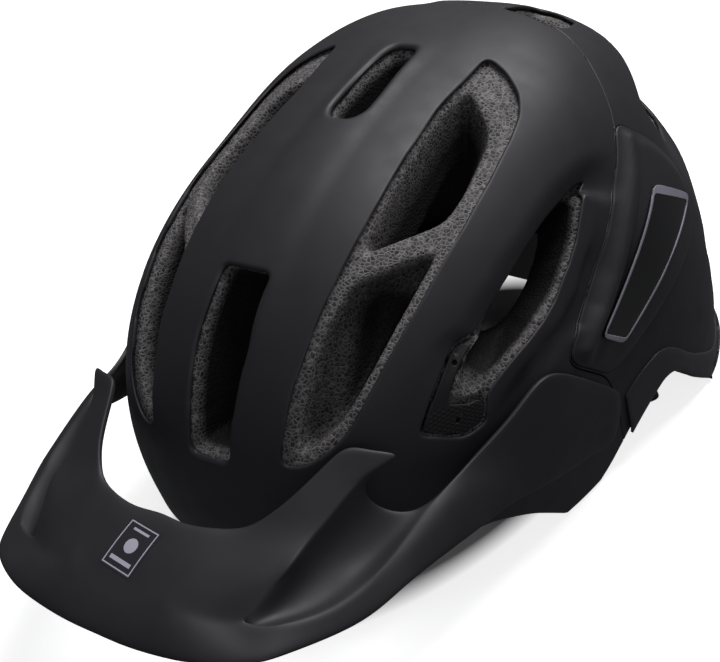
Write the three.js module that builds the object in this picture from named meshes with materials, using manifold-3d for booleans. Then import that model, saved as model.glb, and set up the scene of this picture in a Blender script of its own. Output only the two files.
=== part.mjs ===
// Trail cycling helmet with a long visor, as an assembly of separate solids.
// Millimetres. The helmet is designed about the centre of its crown shell, with its front along -Y,
// the wearer's left along +X and +Z up, then leaned back onto its lobes and rear corners.
import * as THREE from 'three';
import { mergeVertices } from 'three/addons/utils/BufferGeometryUtils.js';
import Module from 'manifold-3d';

const wasm = await Module();
wasm.setup();

// ---------------------------------------------------------------- driving dimensions
const HALF_WIDTH = 96; // crown shell, centre to side
const FRONT_LENGTH = 148;
const REAR_LENGTH = 142;
const CROWN_HEIGHT = 103;
const SKIRT_DEPTH = 420; // large, so the walls run nearly straight down
const SQUARENESS = 2.4; // superellipsoid exponent
const HEAD_HALF_WIDTH = 75;
const HEAD_FRONT = 120;
const HEAD_REAR = 106;
const HEAD_CROWN = 78;
const SHELL_THICKNESS = 1.5;
const GAP = 0.35; // between separate pieces
const VISOR_THICKNESS = 2.6;
const REST_TILT_DEG = 16; // lean back when standing on a table
const FLOOR_DROP = 66; // from the design centre down to the table
const FORWARD_SHIFT = 20.6; // puts the origin under the middle of the whole helmet
const SKIN_LIFT = 0.8; // skins end this far above the table
const WEBBING_WIDTH = 15;
const WEBBING_THICKNESS = 1.6;
const DIAL_RADIUS = 12;
const DIAL_CENTRE = [0, 104, -77];
const VISOR_PIVOT = [0, -65, -14];
const PIVOT_RADIUS = 3;
const TEMPLE_PIVOT = [0, -25, -20];

// ---------------------------------------------------------------- small helpers
const DEG = Math.PI / 180;
const clamp01 = (t) => Math.min(1, Math.max(0, t));
const smooth = (from, to, x) => {
  const t = clamp01((x - from) / (to - from));
  return t * t * (3 - 2 * t);
};
const lerp = (a, b, t) => a + (b - a) * t;

// azimuth from the front towards the wearer's left, elevation from the level
const aim = (az, el) => [
  Math.sin(az * DEG) * Math.cos(el * DEG),
  -Math.cos(az * DEG) * Math.cos(el * DEG),
  Math.sin(el * DEG),
];
// across from the centre plane, then along over the crown from the front
const aimOver = (u, v) => [
  Math.sin(u * DEG),
  -Math.cos(u * DEG) * Math.cos(v * DEG),
  Math.cos(u * DEG) * Math.sin(v * DEG),
];
const azimuthOf = (d) => Math.abs(Math.atan2(d[0], -d[1])) / DEG;
const elevationOf = (d) => Math.atan2(d[2], Math.hypot(d[0], d[1])) / DEG;
const scaled = (d, r) => [d[0] * r, d[1] * r, d[2] * r];

function superRadius(d, halfWidth, front, rear, up, down, power) {
  const length = d[1] < 0 ? front : rear;
  const height = d[2] > 0 ? up : down;
  const sum = Math.abs(d[0] / halfWidth) ** power
    + Math.abs(d[1] / length) ** power + Math.abs(d[2] / height) ** power;
  return sum ** (-1 / power);
}

// a value read off a short list of [place, value] pairs
function readOff(list, place) {
  if (place <= list[0][0]) return list[0][1];
  const k = list.findIndex(([at]) => at >= place);
  if (k < 0) return list.at(-1)[1];
  return lerp(list[k - 1][1], list[k][1], (place - list[k - 1][0]) / (list[k][0] - list[k - 1][0]));
}

// each rear corner is hollowed between its shoulder and its skirt: [elevation, depth]
const REAR_HOLLOW = [
  [-26, 0], [-19, 3], [-13, 6.5], [-5, 4.6], [1, 4.2], [7, 7], [14, 9.5], [20, 4], [28, 0],
];
function rearHollow(az, el) {
  return readOff(REAR_HOLLOW, el) * smooth(126, 145, az) * lerp(1, 0.35, smooth(158, 178, az));
}

// the outer shell swells behind the ears, most of all low down
const FLARE_HIGH = 0.032;
const FLARE_LOW = 0.165;
function outerRadius(d) {
  const az = azimuthOf(d);
  const el = elevationOf(d);
  const behind = smooth(70, 125, az) * lerp(1, 0.5, smooth(140, 180, az));
  const below = lerp(FLARE_LOW, FLARE_HIGH, smooth(-18, 32, el)) * smooth(75, 45, el);
  const base = superRadius(d, HALF_WIDTH, FRONT_LENGTH, REAR_LENGTH, CROWN_HEIGHT, SKIRT_DEPTH, SQUARENESS);
  return base * (1 + behind * below) - rearHollow(az, el);
}
const headRadius = (d) =>
  superRadius(d, HEAD_HALF_WIDTH, HEAD_FRONT, HEAD_REAR, HEAD_CROWN, SKIRT_DEPTH, 2.3);
const offset = (radius, by) => (d) => radius(d) + by;

// lower edge of the helmet: [azimuth, elevation]
const RIM = [
  [0, -2], [25, -3.5], [40, -7], [47.8, -13.8], [53.5, -20.8], [59, -27.5], [64.7, -29.6], [75.4, -29.9],
  [81.9, -27.9], [94.5, -22.2], [99.3, -20.5], [104, -23], [110, -29.4], [117.8, -34.5], [125, -38],
  [133, -39], [145, -37], [160, -31], [180, -27],
];
function rimElevation(az) {
  return readOff(RIM, Math.abs(((az + 180) % 360 + 360) % 360 - 180));
}

// ---------------------------------------------------------------- solids
function solid(points, faces) {
  const mesh = new wasm.Mesh({
    numProp: 3,
    vertProperties: new Float32Array(points.flat()),
    triVerts: new Uint32Array(faces.flat()),
  });
  return new wasm.Manifold(mesh);
}

function fromGeometry(geometry, matrix = new THREE.Matrix4()) {
  const plain = geometry.index ? geometry.toNonIndexed() : geometry.clone();
  for (const name of ['normal', 'uv']) plain.deleteAttribute(name);
  plain.applyMatrix4(matrix);
  const merged = mergeVertices(plain, 1e-4);
  return new wasm.Manifold(new wasm.Mesh({
    numProp: 3,
    vertProperties: new Float32Array(merged.attributes.position.array),
    triVerts: new Uint32Array(merged.index.array),
  }));
}

function mirrored(shape) {
  const mesh = shape.getMesh();
  const points = Float32Array.from(mesh.vertProperties, (value, i) => (i % 3 === 0 ? -value : value));
  const faces = Uint32Array.from(mesh.triVerts);
  for (let i = 0; i < faces.length; i += 3) [faces[i + 1], faces[i + 2]] = [faces[i + 2], faces[i + 1]];
  return new wasm.Manifold(new wasm.Mesh({ numProp: 3, vertProperties: points, triVerts: faces }));
}

// a closed slab between two sheets of points on the same rows x columns grid
function slab(outer, inner, closedRows = false) {
  const rows = outer.length;
  const cols = outer[0].length;
  const points = [...outer.flat(), ...inner.flat()];
  const at = (side, r, c) => side * rows * cols + r * cols + (closedRows ? (c + cols) % cols : c);
  const faces = [];
  const quad = (a, b, c, d) => faces.push([a, b, c], [a, c, d]);
  const lastCol = closedRows ? cols : cols - 1;
  for (let r = 0; r < rows - 1; r += 1) {
    for (let c = 0; c < lastCol; c += 1) {
      quad(at(0, r, c), at(0, r + 1, c), at(0, r + 1, c + 1), at(0, r, c + 1));
      quad(at(1, r, c), at(1, r, c + 1), at(1, r + 1, c + 1), at(1, r + 1, c));
    }
  }
  for (let c = 0; c < lastCol; c += 1) {
    quad(at(0, 0, c), at(0, 0, c + 1), at(1, 0, c + 1), at(1, 0, c));
    quad(at(0, rows - 1, c), at(1, rows - 1, c), at(1, rows - 1, c + 1), at(0, rows - 1, c + 1));
  }
  if (!closedRows) {
    for (let r = 0; r < rows - 1; r += 1) {
      quad(at(0, r, 0), at(1, r, 0), at(1, r + 1, 0), at(0, r + 1, 0));
      quad(at(0, r, cols - 1), at(0, r + 1, cols - 1), at(1, r + 1, cols - 1), at(1, r, cols - 1));
    }
  }
  return solid(points, faces);
}

// a dome between two radius functions, from the crown to the rim
const DOME_STEPS = 40;
const DOME_RINGS = 10;
function dome(outer, inner, steps = DOME_STEPS, rings = DOME_RINGS) {
  const points = [];
  const faces = [];
  for (const radius of [outer, inner]) {
    points.push(scaled([0, 0, 1], radius([0, 0, 1])));
    for (let r = 1; r <= rings; r += 1) {
      for (let s = 0; s < steps; s += 1) {
        const az = (360 * s) / steps;
        const d = aim(az, lerp(90, rimElevation(az), r / rings));
        points.push(scaled(d, radius(d)));
      }
    }
  }
  const half = 1 + rings * steps;
  const at = (side, r, s) => side * half + 1 + (r - 1) * steps + ((s + steps) % steps);
  const add = (side, a, b, c) => faces.push(side ? [a, c, b] : [a, b, c]);
  for (const side of [0, 1]) {
    for (let s = 0; s < steps; s += 1) {
      add(side, side * half, at(side, 1, s), at(side, 1, s + 1));
      for (let r = 1; r < rings; r += 1) {
        add(side, at(side, r, s), at(side, r + 1, s), at(side, r + 1, s + 1));
        add(side, at(side, r, s), at(side, r + 1, s + 1), at(side, r, s + 1));
      }
    }
  }
  for (let s = 0; s < steps; s += 1) {
    faces.push([at(0, rings, s), at(1, rings, s), at(1, rings, s + 1)]);
    faces.push([at(0, rings, s), at(1, rings, s + 1), at(0, rings, s + 1)]);
  }
  return solid(points, faces);
}

// a cutter whose walls all point at the design centre, from an outline of flat 2-D angle pairs
function cone(outline, toDirection, near = 25, far = 420) {
  const flat = outline.map((p) => new THREE.Vector2(p[0], p[1]));
  if (THREE.ShapeUtils.area(flat) < 0) flat.reverse();
  const triangles = THREE.ShapeUtils.triangulateShape(flat, []);
  const count = flat.length;
  const directions = flat.map((p) => toDirection(p.x, p.y));
  const points = [...directions.map((d) => scaled(d, far)), ...directions.map((d) => scaled(d, near))];
  const [a, b, c] = triangles[0].map((i) => new THREE.Vector3(...points[i]));
  const outward = b.clone().sub(a).cross(c.clone().sub(a)).dot(a) > 0;
  const faces = [];
  const add = (i, j, k) => faces.push(outward ? [i, j, k] : [i, k, j]);
  for (const [i, j, k] of triangles) {
    add(i, j, k);
    add(i + count, k + count, j + count);
  }
  for (let i = 0; i < count; i += 1) {
    const next = (i + 1) % count;
    add(i, i + count, next);
    add(next, i + count, next + count);
  }
  return solid(points, faces);
}

// a strip of the layer between two radius functions: elevations low(az)..high(az)
function strip(azFrom, azTo, low, high, outer, inner, azSteps, elSteps) {
  const grid = (radius) => {
    const rows = [];
    for (let r = 0; r <= elSteps; r += 1) {
      const row = [];
      for (let c = 0; c <= azSteps; c += 1) {
        const az = lerp(azFrom, azTo, c / azSteps);
        const d = aim(az, lerp(high(az), low(az), r / elSteps));
        row.push(scaled(d, radius(d)));
      }
      rows.push(row);
    }
    return rows;
  };
  return slab(grid(outer), grid(inner));
}

function shrink(outline, by) {
  const cx = outline.reduce((sum, p) => sum + p[0], 0) / outline.length;
  const cy = outline.reduce((sum, p) => sum + p[1], 0) / outline.length;
  return outline.map(([x, y]) => {
    const length = Math.hypot(x - cx, y - cy);
    return [x + ((cx - x) / length) * by, y + ((cy - y) / length) * by];
  });
}

function both(shape) {
  return shape.add(mirrored(shape));
}

// the space below the table top, tilted into the design frame
function belowFloor(lift) {
  const matrix = new THREE.Matrix4().makeRotationX(-REST_TILT_DEG * DEG);
  const depth = 100;
  matrix.multiply(new THREE.Matrix4().makeTranslation(0, 0, -FLOOR_DROP + lift - depth / 2));
  return fromGeometry(new THREE.BoxGeometry(600, 700, depth), matrix);
}

function cylinderAlongX(radius, x0, x1, y, z, sides = 24) {
  const matrix = new THREE.Matrix4().makeTranslation((x0 + x1) / 2, y, z);
  matrix.multiply(new THREE.Matrix4().makeRotationZ(Math.PI / 2));
  return fromGeometry(new THREE.CylinderGeometry(radius, radius, Math.abs(x1 - x0), sides), matrix);
}

// ---------------------------------------------------------------- vents
const FRONT_VENT = [
  [-4.6, 45], [4.6, 45], [4.7, 33], [4.1, 26], [3.4, 16.8], [-3.4, 16.8], [-4.1, 26], [-4.7, 33],
];
const CROWN_VENT = [
  [-4.2, 84], [-2.4, 80.9], [2.4, 80.9], [4.2, 84], [4.3, 90], [3.5, 107], [2.4, 109.4], [-2.4, 109.4],
  [-3.5, 107], [-4.3, 90],
];
const LONG_VENT = [
  [18.7, 111], [18.4, 91.4], [18.5, 71.6], [18.1, 62.5], [16.7, 50.7], [14.9, 40.3], [12.8, 27.8], [11.6, 18],
  [15.2, 18.1], [18.7, 20.6], [21.4, 23.9], [25.7, 33.9], [30.2, 46.5], [34, 63.2], [35.3, 77.3], [34.6, 91],
  [32.9, 99.2], [29.8, 104.6], [24.2, 108.8],
];
const LONG_UPPER = [
  [19, 100], [18.6, 87], [18.8, 70], [18.2, 60], [17.4, 50.6], [23.8, 55.8], [29.7, 61.5], [31.6, 67],
  [32.2, 75], [32, 83], [31, 90], [28.3, 94.2], [25, 97], [21.7, 100.4],
];
const LONG_LOWER = [
  [17.4, 45.5], [16.2, 40], [14.9, 35.7], [13.6, 24.7], [13, 20.5], [14.2, 18.9], [17.3, 21.2], [20.2, 24.3],
  [24.4, 33.6], [28.6, 46.1], [30.9, 55.2], [27.7, 54], [22.1, 48.9],
];
const LOWER_CELL_REST = 8; // foam left under the lower half of each long vent, which is blind
const SIDE_VENT = [
  [52, 104.5], [53, 98.2], [55.8, 89.7], [58.1, 80.3], [58.7, 70], [58.1, 61.9], [57.3, 53.5], [55, 45.6],
  [51.6, 39], [47.8, 33.8], [44.5, 29.4], [42.6, 26.6], [42.5, 19.8], [38.6, 18.2], [30.9, 21.4], [33.2, 28.9],
  [35.3, 35.6], [36.3, 37.8], [39.9, 40.2], [44.3, 51.5], [48.1, 67], [49.8, 78.5], [51.2, 99],
];
const SIDE_UPPER = [
  [51.8, 98], [55, 91], [57.4, 84], [58.4, 74], [58.2, 62], [56.8, 54], [54, 46], [50.6, 40], [46, 37.6],
  [41.4, 38.6], [44.8, 51.5], [48.6, 66.9], [50.2, 78.5], [51.4, 93],
];
const SIDE_LOWER = [
  [48.6, 44], [53.4, 44.6], [50.6, 39], [46.8, 34], [43.4, 30], [41, 27], [37.4, 27.4], [38.5, 33.6],
  [40.9, 39.4],
];
const SIDE_LOWER_DEPTH = 12; // foam cut away under the front half of each side vent
const GRIP = [
  [31.4, 21.7], [38.5, 18.7], [41.9, 20.1], [42.1, 24.2], [41, 25.7], [39.5, 25.1], [35.5, 26], [36.3, 29.8],
  [37.8, 34.6], [39.4, 38.2], [39.8, 39.2], [36.7, 37.3], [35.8, 35.3], [33.7, 28.8],
];
const GRIP_PINS = [[37.4, 22.3], [36.6, 34]];
const REAR_TOP_VENT = [[8.5, 132.6], [20.8, 131], [21.2, 137], [18, 144.5], [8.5, 146.5]];
const REAR_FLANK_VENT = [[134.5, 26], [146, 27], [158, 24.5], [161, 16], [153, 8], [141, 10], [131.5, 17]];
const REAR_LOW_VENT = [[128, -8], [146, -7], [147, -17], [129, -17]];
const REAR_MIDDLE_VENT = [[172, 24], [188, 24], [186, 2], [174, 2]];

function shellVents() {
  const single = cone(FRONT_VENT, aimOver).add(cone(CROWN_VENT, aimOver)).add(cone(REAR_MIDDLE_VENT, aim));
  const pairs = [cone(LONG_VENT, aimOver), cone(SIDE_VENT, aimOver), cone(REAR_TOP_VENT, aimOver),
    cone(REAR_FLANK_VENT, aim), cone(REAR_LOW_VENT, aim)];
  return pairs.reduce((sum, cutter) => sum.add(both(cutter)), single);
}

function linerVents() {
  const single = cone(FRONT_VENT, aimOver).add(cone(CROWN_VENT, aimOver))
    .add(cone(shrink(REAR_MIDDLE_VENT, 1), aim));
  const lowerCell = cone(LONG_LOWER, aimOver, 60)
    .intersect(dome(offset(outerRadius, 10), offset(headRadius, LOWER_CELL_REST)));
  const sideCell = cone(SIDE_LOWER, aimOver, 60)
    .intersect(dome(offset(outerRadius, 10), offset(outerRadius, -SIDE_LOWER_DEPTH)));
  const pairs = [cone(LONG_UPPER, aimOver), lowerCell, cone(SIDE_UPPER, aimOver), sideCell,
    cone(shrink(REAR_TOP_VENT, 1), aimOver), cone(shrink(REAR_FLANK_VENT, 1), aim),
    cone(shrink(REAR_LOW_VENT, 1), aim)];
  return pairs.reduce((sum, cutter) => sum.add(both(cutter)), single);
}

// ---------------------------------------------------------------- liner and shells
const shellInside = offset(outerRadius, -SHELL_THICKNESS);
const linerOutside = offset(outerRadius, -SHELL_THICKNESS - GAP);
const vents = shellVents();
const bushHole = both(cylinderAlongX(6.4, 74, 112, VISOR_PIVOT[1], VISOR_PIVOT[2]));

const SEAM = [
  [180.3, 46.2], [165, 45.7], [149.5, 44], [132.3, 40], [121.5, 35.9], [99.4, 28.4], [83.1, 21],
  [67, 13.4], [67.2, 9.6], [79, -4.8], [81, -15], [82, -60],
];
function rearRegion(grow) {
  const edge = SEAM.map(([az, el]) => [az - grow, el + grow]);
  return both(cone([...edge, [180.3 - grow, -60]], aim));
}

function makeLiner() {
  const foam = dome(linerOutside, headRadius).subtract(linerVents()).subtract(bushHole);
  const seats = both(cone(SIDE_VENT, aimOver, 60).intersect(
    dome(offset(outerRadius, 10), offset(outerRadius, -4.6))));
  return foam.subtract(seats).subtract(belowFloor(0));
}

function makeSkin() {
  return dome(outerRadius, shellInside).subtract(vents).subtract(bushHole).subtract(belowFloor(SKIN_LIFT));
}

function makeTopShell(skin) {
  return skin.subtract(rearRegion(0.25));
}

function makeRearShell(skin) {
  return skin.intersect(rearRegion(0));
}

const BAND = [
  [120.5, 35.3], [113.1, 32.8], [99.4, 28], [83.1, 20.6], [67.6, 13.2], [67.8, 9.9], [79.7, -4.4],
  [86, -5.4], [104, -2.4], [119, 0], [126, 5], [128, 13], [126, 24],
];
const PLATE = [[113.1, 22.1], [122.8, 9.3], [105.8, 7.6], [83.1, 3.4], [76.3, 11.2]];
const BAND_PROUD = 4.2;
function bandProud(d) {
  const edge = smooth(128, 100, azimuthOf(d));
  return lerp(2.6, BAND_PROUD, edge);
}
function makeBand() {
  const layer = strip(64, 132, () => -8, () => 38, (d) => outerRadius(d) + bandProud(d),
    offset(outerRadius, GAP), 14, 9);
  return layer.intersect(cone(BAND, aim));
}
function makePlate() {
  const layer = strip(72, 132, () => -8, () => 28, (d) => outerRadius(d) + bandProud(d) + 1.1,
    (d) => outerRadius(d) + bandProud(d) + GAP, 10, 5);
  return layer.intersect(cone(PLATE, aim));
}

// the bumper is widest over the ear arch
function bumperHeight(az) {
  const a = 180 - Math.abs(180 - az);
  return lerp(11, 6, smooth(84, 108, a));
}
function makeBumper() {
  const low = (az) => rimElevation(az) + 0.4;
  const high = (az) => rimElevation(az) + bumperHeight(az);
  const ring = strip(83, 277, low, high, offset(outerRadius, 2.2), offset(outerRadius, GAP), 44, 1);
  return ring.subtract(belowFloor(SKIN_LIFT));
}

function makeGrip() {
  const layer = dome(offset(outerRadius, -0.6), offset(outerRadius, -4));
  return layer.intersect(cone(GRIP, aimOver)).subtract(cylinderGripPins());
}
function cylinderGripPins() {
  return GRIP_PINS.map(([u, v]) => cone([0, 60, 120, 180, 240, 300].map((turn) => [
    u + 0.55 * Math.cos(turn * DEG), v + 0.75 * Math.sin(turn * DEG)]), aimOver)).reduce((a, b) => a.add(b));
}

// ---------------------------------------------------------------- visor
// Half of the visor as rows of points that run from the wearer's side of the sheet to its outer edge.
const PANEL_ROWS = [
  [[0, -170, 45.5], [0, -183, 44.3], [0, -195, 41.5], [0, -204, 39], [0, -211, 35.5]],
  [[11, -170.6, 45.6], [9.5, -183, 44.3], [8, -195, 41.5], [9, -204, 39], [10, -211, 35.6]],
  [[23, -168.2, 45.3], [19, -181.5, 44.2], [15, -195, 41.6], [17, -203.8, 39.2], [19, -210.6, 36]],
  [[34, -163, 45], [28.5, -179, 43.8], [22.5, -195, 41.8], [25.3, -203, 39.6], [28, -209.6, 36.4]],
];
const RIDGE_ROWS = [
  [[22.5, -195, 41.8], [35, -193.4, 39.6], [47.5, -189.5, 37]],
  [[28.5, -179, 43.8], [41, -179, 42.2], [52.2, -176, 40.8]],
  [[34, -163, 45], [45, -163, 44], [55, -161, 42.3]],
  [[42.6, -151, 47.7], [50.5, -149, 46.4], [58, -147, 43.8]],
  [[50, -134, 51.2], [56.5, -133, 49.3], [62, -132.5, 46.2]],
  [[54.5, -126, 52.4], [61.5, -124.2, 51.2], [68.3, -122, 48.6]],
];
const LIP_ROWS = [
  [[22.5, -195, 41.8], [25.3, -203, 39.6], [28, -209.6, 36.4]],
  [[35, -193.4, 39.6], [38.5, -200.5, 38.6], [41.5, -206.8, 36.6]],
  [[47.5, -189.5, 37], [50.5, -195, 36.2], [56, -200, 35]],
];
const CHANNEL_ROWS = [
  [[47.5, -189.5, 37], [51, -188, 35.4], [55, -187.3, 35.2], [58.5, -186.2, 35.4]],
  [[52.2, -176, 40.8], [54.8, -176, 34], [62, -175.5, 30.8], [68.5, -172.8, 31.2]],
  [[55, -161, 42.3], [58.2, -160.6, 33.6], [67, -160, 29], [74, -159, 29.6]],
  [[58, -147, 43.8], [61.5, -146.6, 34.4], [70, -146, 28.6], [77.3, -146, 29.6]],
  [[62, -132.5, 46.2], [64.5, -135, 36], [73, -131.5, 30.5], [80.2, -122.5, 30.2]],
];
const SKIRT_ROWS = [
  [[47.5, -189.5, 37], [50.5, -195, 36.2], [56, -200, 35]],
  [[58.5, -186.2, 35.4], [61, -188.6, 34.6], [65, -191, 32.4]],
  [[68.5, -172.8, 31.2], [71.5, -174.5, 29.8], [75.5, -173.5, 26.4]],
  [[74, -159, 29.6], [77.5, -159.5, 28], [81.5, -159, 24.6]],
  [[77.3, -146, 29.6], [81.2, -146, 27.8], [85.4, -145, 23]],
  [[80.2, -122.5, 30.2], [86, -122.5, 26.4], [90.4, -122.5, 17]],
  [[82.9, -108, 29], [88.6, -108, 22], [91.4, -107.5, 9.5]],
  [[85.6, -95, 28], [91, -93.5, 15], [93.2, -91.5, 1.5]],
  [[90, -79, 29], [94.6, -77, 10], [95.6, -74.5, -8.5]],
  [[93.6, -63, 31], [98, -60, 8], [98, -57, -17]],
  [[96.8, -51, 25.3], [100.4, -45, 2], [99.8, -41, -25]],
  [[100.2, -37, 8.5], [102.2, -32.5, -9], [101.4, -29.5, -30]],
  [[102.4, -25.5, -7], [102.9, -23.8, -14], [102.4, -23.6, -22]],
];

function thickened(rowsList, thickness) {
  const key = (p) => p.map((value) => value.toFixed(3)).join(' ');
  const index = new Map();
  const points = [];
  const find = (p) => {
    if (!index.has(key(p))) {
      index.set(key(p), points.length);
      points.push(p);
    }
    return index.get(key(p));
  };
  const faces = [];
  const addFace = (a, b, c) => {
    if (a !== b && b !== c && a !== c) faces.push([a, b, c]);
  };
  for (const side of [1, -1]) {
    for (const rows of rowsList) {
      for (let r = 0; r < rows.length - 1; r += 1) {
        for (let c = 0; c < rows[0].length - 1; c += 1) {
          const corners = [rows[r][c], rows[r][c + 1], rows[r + 1][c + 1], rows[r + 1][c]]
            .map(([x, y, z]) => find([side * x + 0, y, z]));
          if (side < 0) corners.reverse();
          addFace(corners[0], corners[1], corners[2]);
          addFace(corners[0], corners[2], corners[3]);
        }
      }
    }
  }
  const normals = points.map(() => new THREE.Vector3());
  for (const face of faces) {
    const [a, b, c] = face.map((i) => new THREE.Vector3(...points[i]));
    const normal = b.clone().sub(a).cross(c.clone().sub(a));
    for (const i of face) normals[i].add(normal);
  }
  const under = points.map((p, i) => {
    const n = normals[i].normalize();
    return [p[0] - n.x * thickness, p[1] - n.y * thickness, p[2] - n.z * thickness];
  });
  const count = points.length;
  const all = faces.map((face) => [...face]);
  for (const [a, b, c] of faces) all.push([a + count, c + count, b + count]);
  const edges = new Map();
  for (const [a, b, c] of faces) {
    for (const [i, j] of [[a, b], [b, c], [c, a]]) {
      if (edges.has(`${j} ${i}`)) edges.delete(`${j} ${i}`);
      else edges.set(`${i} ${j}`, [i, j]);
    }
  }
  for (const [i, j] of edges.values()) {
    all.push([j, i, i + count]);
    all.push([j, i + count, j + count]);
  }
  return solid([...points, ...under], all);
}

function makeVisor() {
  return thickened([PANEL_ROWS, RIDGE_ROWS, LIP_ROWS, CHANNEL_ROWS, SKIRT_ROWS], VISOR_THICKNESS);
}

function makePivotPin() {
  return cylinderAlongX(PIVOT_RADIUS, 80, 93.4, VISOR_PIVOT[1], VISOR_PIVOT[2]);
}
function makePivotBush() {
  const ring = cylinderAlongX(6, 77, 89, VISOR_PIVOT[1], VISOR_PIVOT[2]);
  return ring.subtract(cylinderAlongX(PIVOT_RADIUS + 0.08, 78.5, 95, VISOR_PIVOT[1], VISOR_PIVOT[2]));
}

const LABEL_CENTRE = [-2.2, -183.4, 44.9];
function makeLabel() {
  const matrix = new THREE.Matrix4().makeTranslation(...LABEL_CENTRE);
  matrix.multiply(new THREE.Matrix4().makeRotationX(7 * DEG));
  matrix.multiply(new THREE.Matrix4().makeRotationZ(-8 * DEG));
  return fromGeometry(new THREE.BoxGeometry(15.1, 18.3, 0.5), matrix);
}

// ---------------------------------------------------------------- inside: pads and retention
const insideBy = (by) => offset(headRadius, -by);
function makePad(azFrom, azTo, low, high, thickness = 6) {
  const steps = Math.round((azTo - azFrom) / 9);
  return strip(azFrom, azTo, () => low, () => high, insideBy(1.6), insideBy(1.6 + thickness), steps, 2);
}
// crown pads run front to back, so they are laid out across and over
function makeCrownPad(uFrom, uTo, vFrom, vTo) {
  const grid = (radius) => {
    const rows = [];
    for (let r = 0; r <= 6; r += 1) {
      const v = lerp(vFrom, vTo, r / 6);
      rows.push([0, 0.5, 1].map((t) => {
        const d = aimOver(lerp(uFrom, uTo, t), v);
        return scaled(d, radius(d));
      }));
    }
    return rows;
  };
  return slab(grid(insideBy(7)), grid(insideBy(1)));
}

const armMiddle = (az) => lerp(-15, -29, smooth(75, 160, az));
const TEMPLE_PIN_RADIUS = 2.2;
function makeArm() {
  const blade = strip(64, 158, (az) => armMiddle(az) - 4.5, (az) => armMiddle(az) + 4.5,
    insideBy(1.6), insideBy(3), 13, 1);
  return blade.subtract(cylinderAlongX(TEMPLE_PIN_RADIUS + 0.08, 60, 80, TEMPLE_PIVOT[1], TEMPLE_PIVOT[2], 16));
}
function makeTemplePin() {
  const head = cylinderAlongX(3.8, 68.6, 70.4, TEMPLE_PIVOT[1], TEMPLE_PIVOT[2], 16);
  return head.add(cylinderAlongX(TEMPLE_PIN_RADIUS, 70, 73.2, TEMPLE_PIVOT[1], TEMPLE_PIVOT[2], 16));
}
function makeCradle() {
  const low = (az) => lerp(-40, -35, smooth(0, 38, Math.abs(az - 180)));
  const high = (az) => lerp(-26, -24, smooth(0, 38, Math.abs(az - 180)));
  return strip(142, 218, low, high, insideBy(3.7), insideBy(5.9), 12, 2);
}
function makeHeightSlider() {
  return strip(176.5, 183.5, () => -25, () => -4, insideBy(3.6), insideBy(5.2), 2, 3);
}
function makeHeightAnchor() {
  return strip(174, 186, () => -9, () => -2, insideBy(0.9), insideBy(2.6), 2, 1);
}
function alongDial(radius, y0, y1, sides) {
  const matrix = new THREE.Matrix4().makeTranslation(DIAL_CENTRE[0], (y0 + y1) / 2, DIAL_CENTRE[2]);
  return fromGeometry(new THREE.CylinderGeometry(radius, radius, y1 - y0, sides), matrix);
}
const DIAL_INNER_FACE = 103.4;
function makeDialHousing() {
  const disc = alongDial(DIAL_RADIUS + 1.5, DIAL_INNER_FACE, DIAL_INNER_FACE + 4, 32);
  return disc.add(alongDial(3, DIAL_INNER_FACE, DIAL_INNER_FACE + 9, 20));
}
function makeDial() {
  const knob = alongDial(DIAL_RADIUS, DIAL_INNER_FACE + 4.4, DIAL_INNER_FACE + 12, 30);
  return knob.subtract(alongDial(3.35, DIAL_INNER_FACE + 3, DIAL_INNER_FACE + 9.4, 20));
}

// ---------------------------------------------------------------- webbing and buckle
// a flat ribbon along a path; each stop is [x, y, z, width direction]
function ribbon(stops, width = WEBBING_WIDTH, thickness = WEBBING_THICKNESS, steps = 14) {
  const curve = new THREE.CatmullRomCurve3(stops.map((s) => new THREE.Vector3(s[0], s[1], s[2])));
  const sides = new THREE.CatmullRomCurve3(stops.map((s) => new THREE.Vector3(...s[3])));
  const top = [];
  const bottom = [];
  for (let i = 0; i <= steps; i += 1) {
    const t = i / steps;
    const point = curve.getPoint(t);
    const along = curve.getTangent(t);
    const across = sides.getPoint(t);
    across.addScaledVector(along, -across.dot(along)).normalize();
    const normal = across.clone().cross(along).normalize().multiplyScalar(thickness / 2);
    const half = across.multiplyScalar(width / 2);
    const sidesOf = (face) => [face.clone().sub(half).toArray(), face.clone().add(half).toArray()];
    top.push(sidesOf(point.clone().add(normal)));
    bottom.push(sidesOf(point.clone().sub(normal)));
  }
  const shape = slab(top, bottom);
  return shape.volume() > 0 ? shape : slab(bottom, top);
}

// height above the table, at a place given in the design frame's x and y
const TILT = REST_TILT_DEG * DEG;
const onTable = (y, height) => (height - FLOOR_DROP - y * Math.sin(TILT)) / Math.cos(TILT);
const FORWARD = [0, Math.cos(TILT), -Math.sin(TILT)];

const FRONT_ANCHOR = [67.2, -41, -35];
const REAR_ANCHOR = [67, 27, -43];
const DIVIDER = [76.8, 6, onTable(6, 12)];
function makeFrontStrap() {
  return ribbon([
    [69.3, -41, -33, [0, 1, 0.1]], [69.8, -38, -41, [0, 1, 0.3]], [73.2, -21, -52, [0, 0.8, 0.7]],
    [76.4, -5, onTable(-5, 13.5), [0, 0.5, 0.9]],
  ]);
}
function makeRearStrap() {
  return ribbon([
    [69, 27, -40.5, [0, 1, 0]], [70.4, 29, -55, [-0.2, 1, 0.3]], [82.5, 34, -68, [-0.5, 0.6, 0.6]],
    [91, 33, onTable(33, 9), [-0.3, 0.2, 0.9]], [88.5, 24, onTable(24, 7.6), [0.5, 0.2, 0.8]],
    [82, 18, onTable(18, 8.4), [0.5, 0.5, 0.8]], [77.6, 14.6, onTable(14.6, 10), [0.1, 0.4, 0.9]],
  ], WEBBING_WIDTH - 3);
}
function plateAt(centre, size, matrix = new THREE.Matrix4()) {
  const place = new THREE.Matrix4().makeTranslation(...centre).multiply(matrix);
  return fromGeometry(new THREE.BoxGeometry(...size), place);
}
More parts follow.
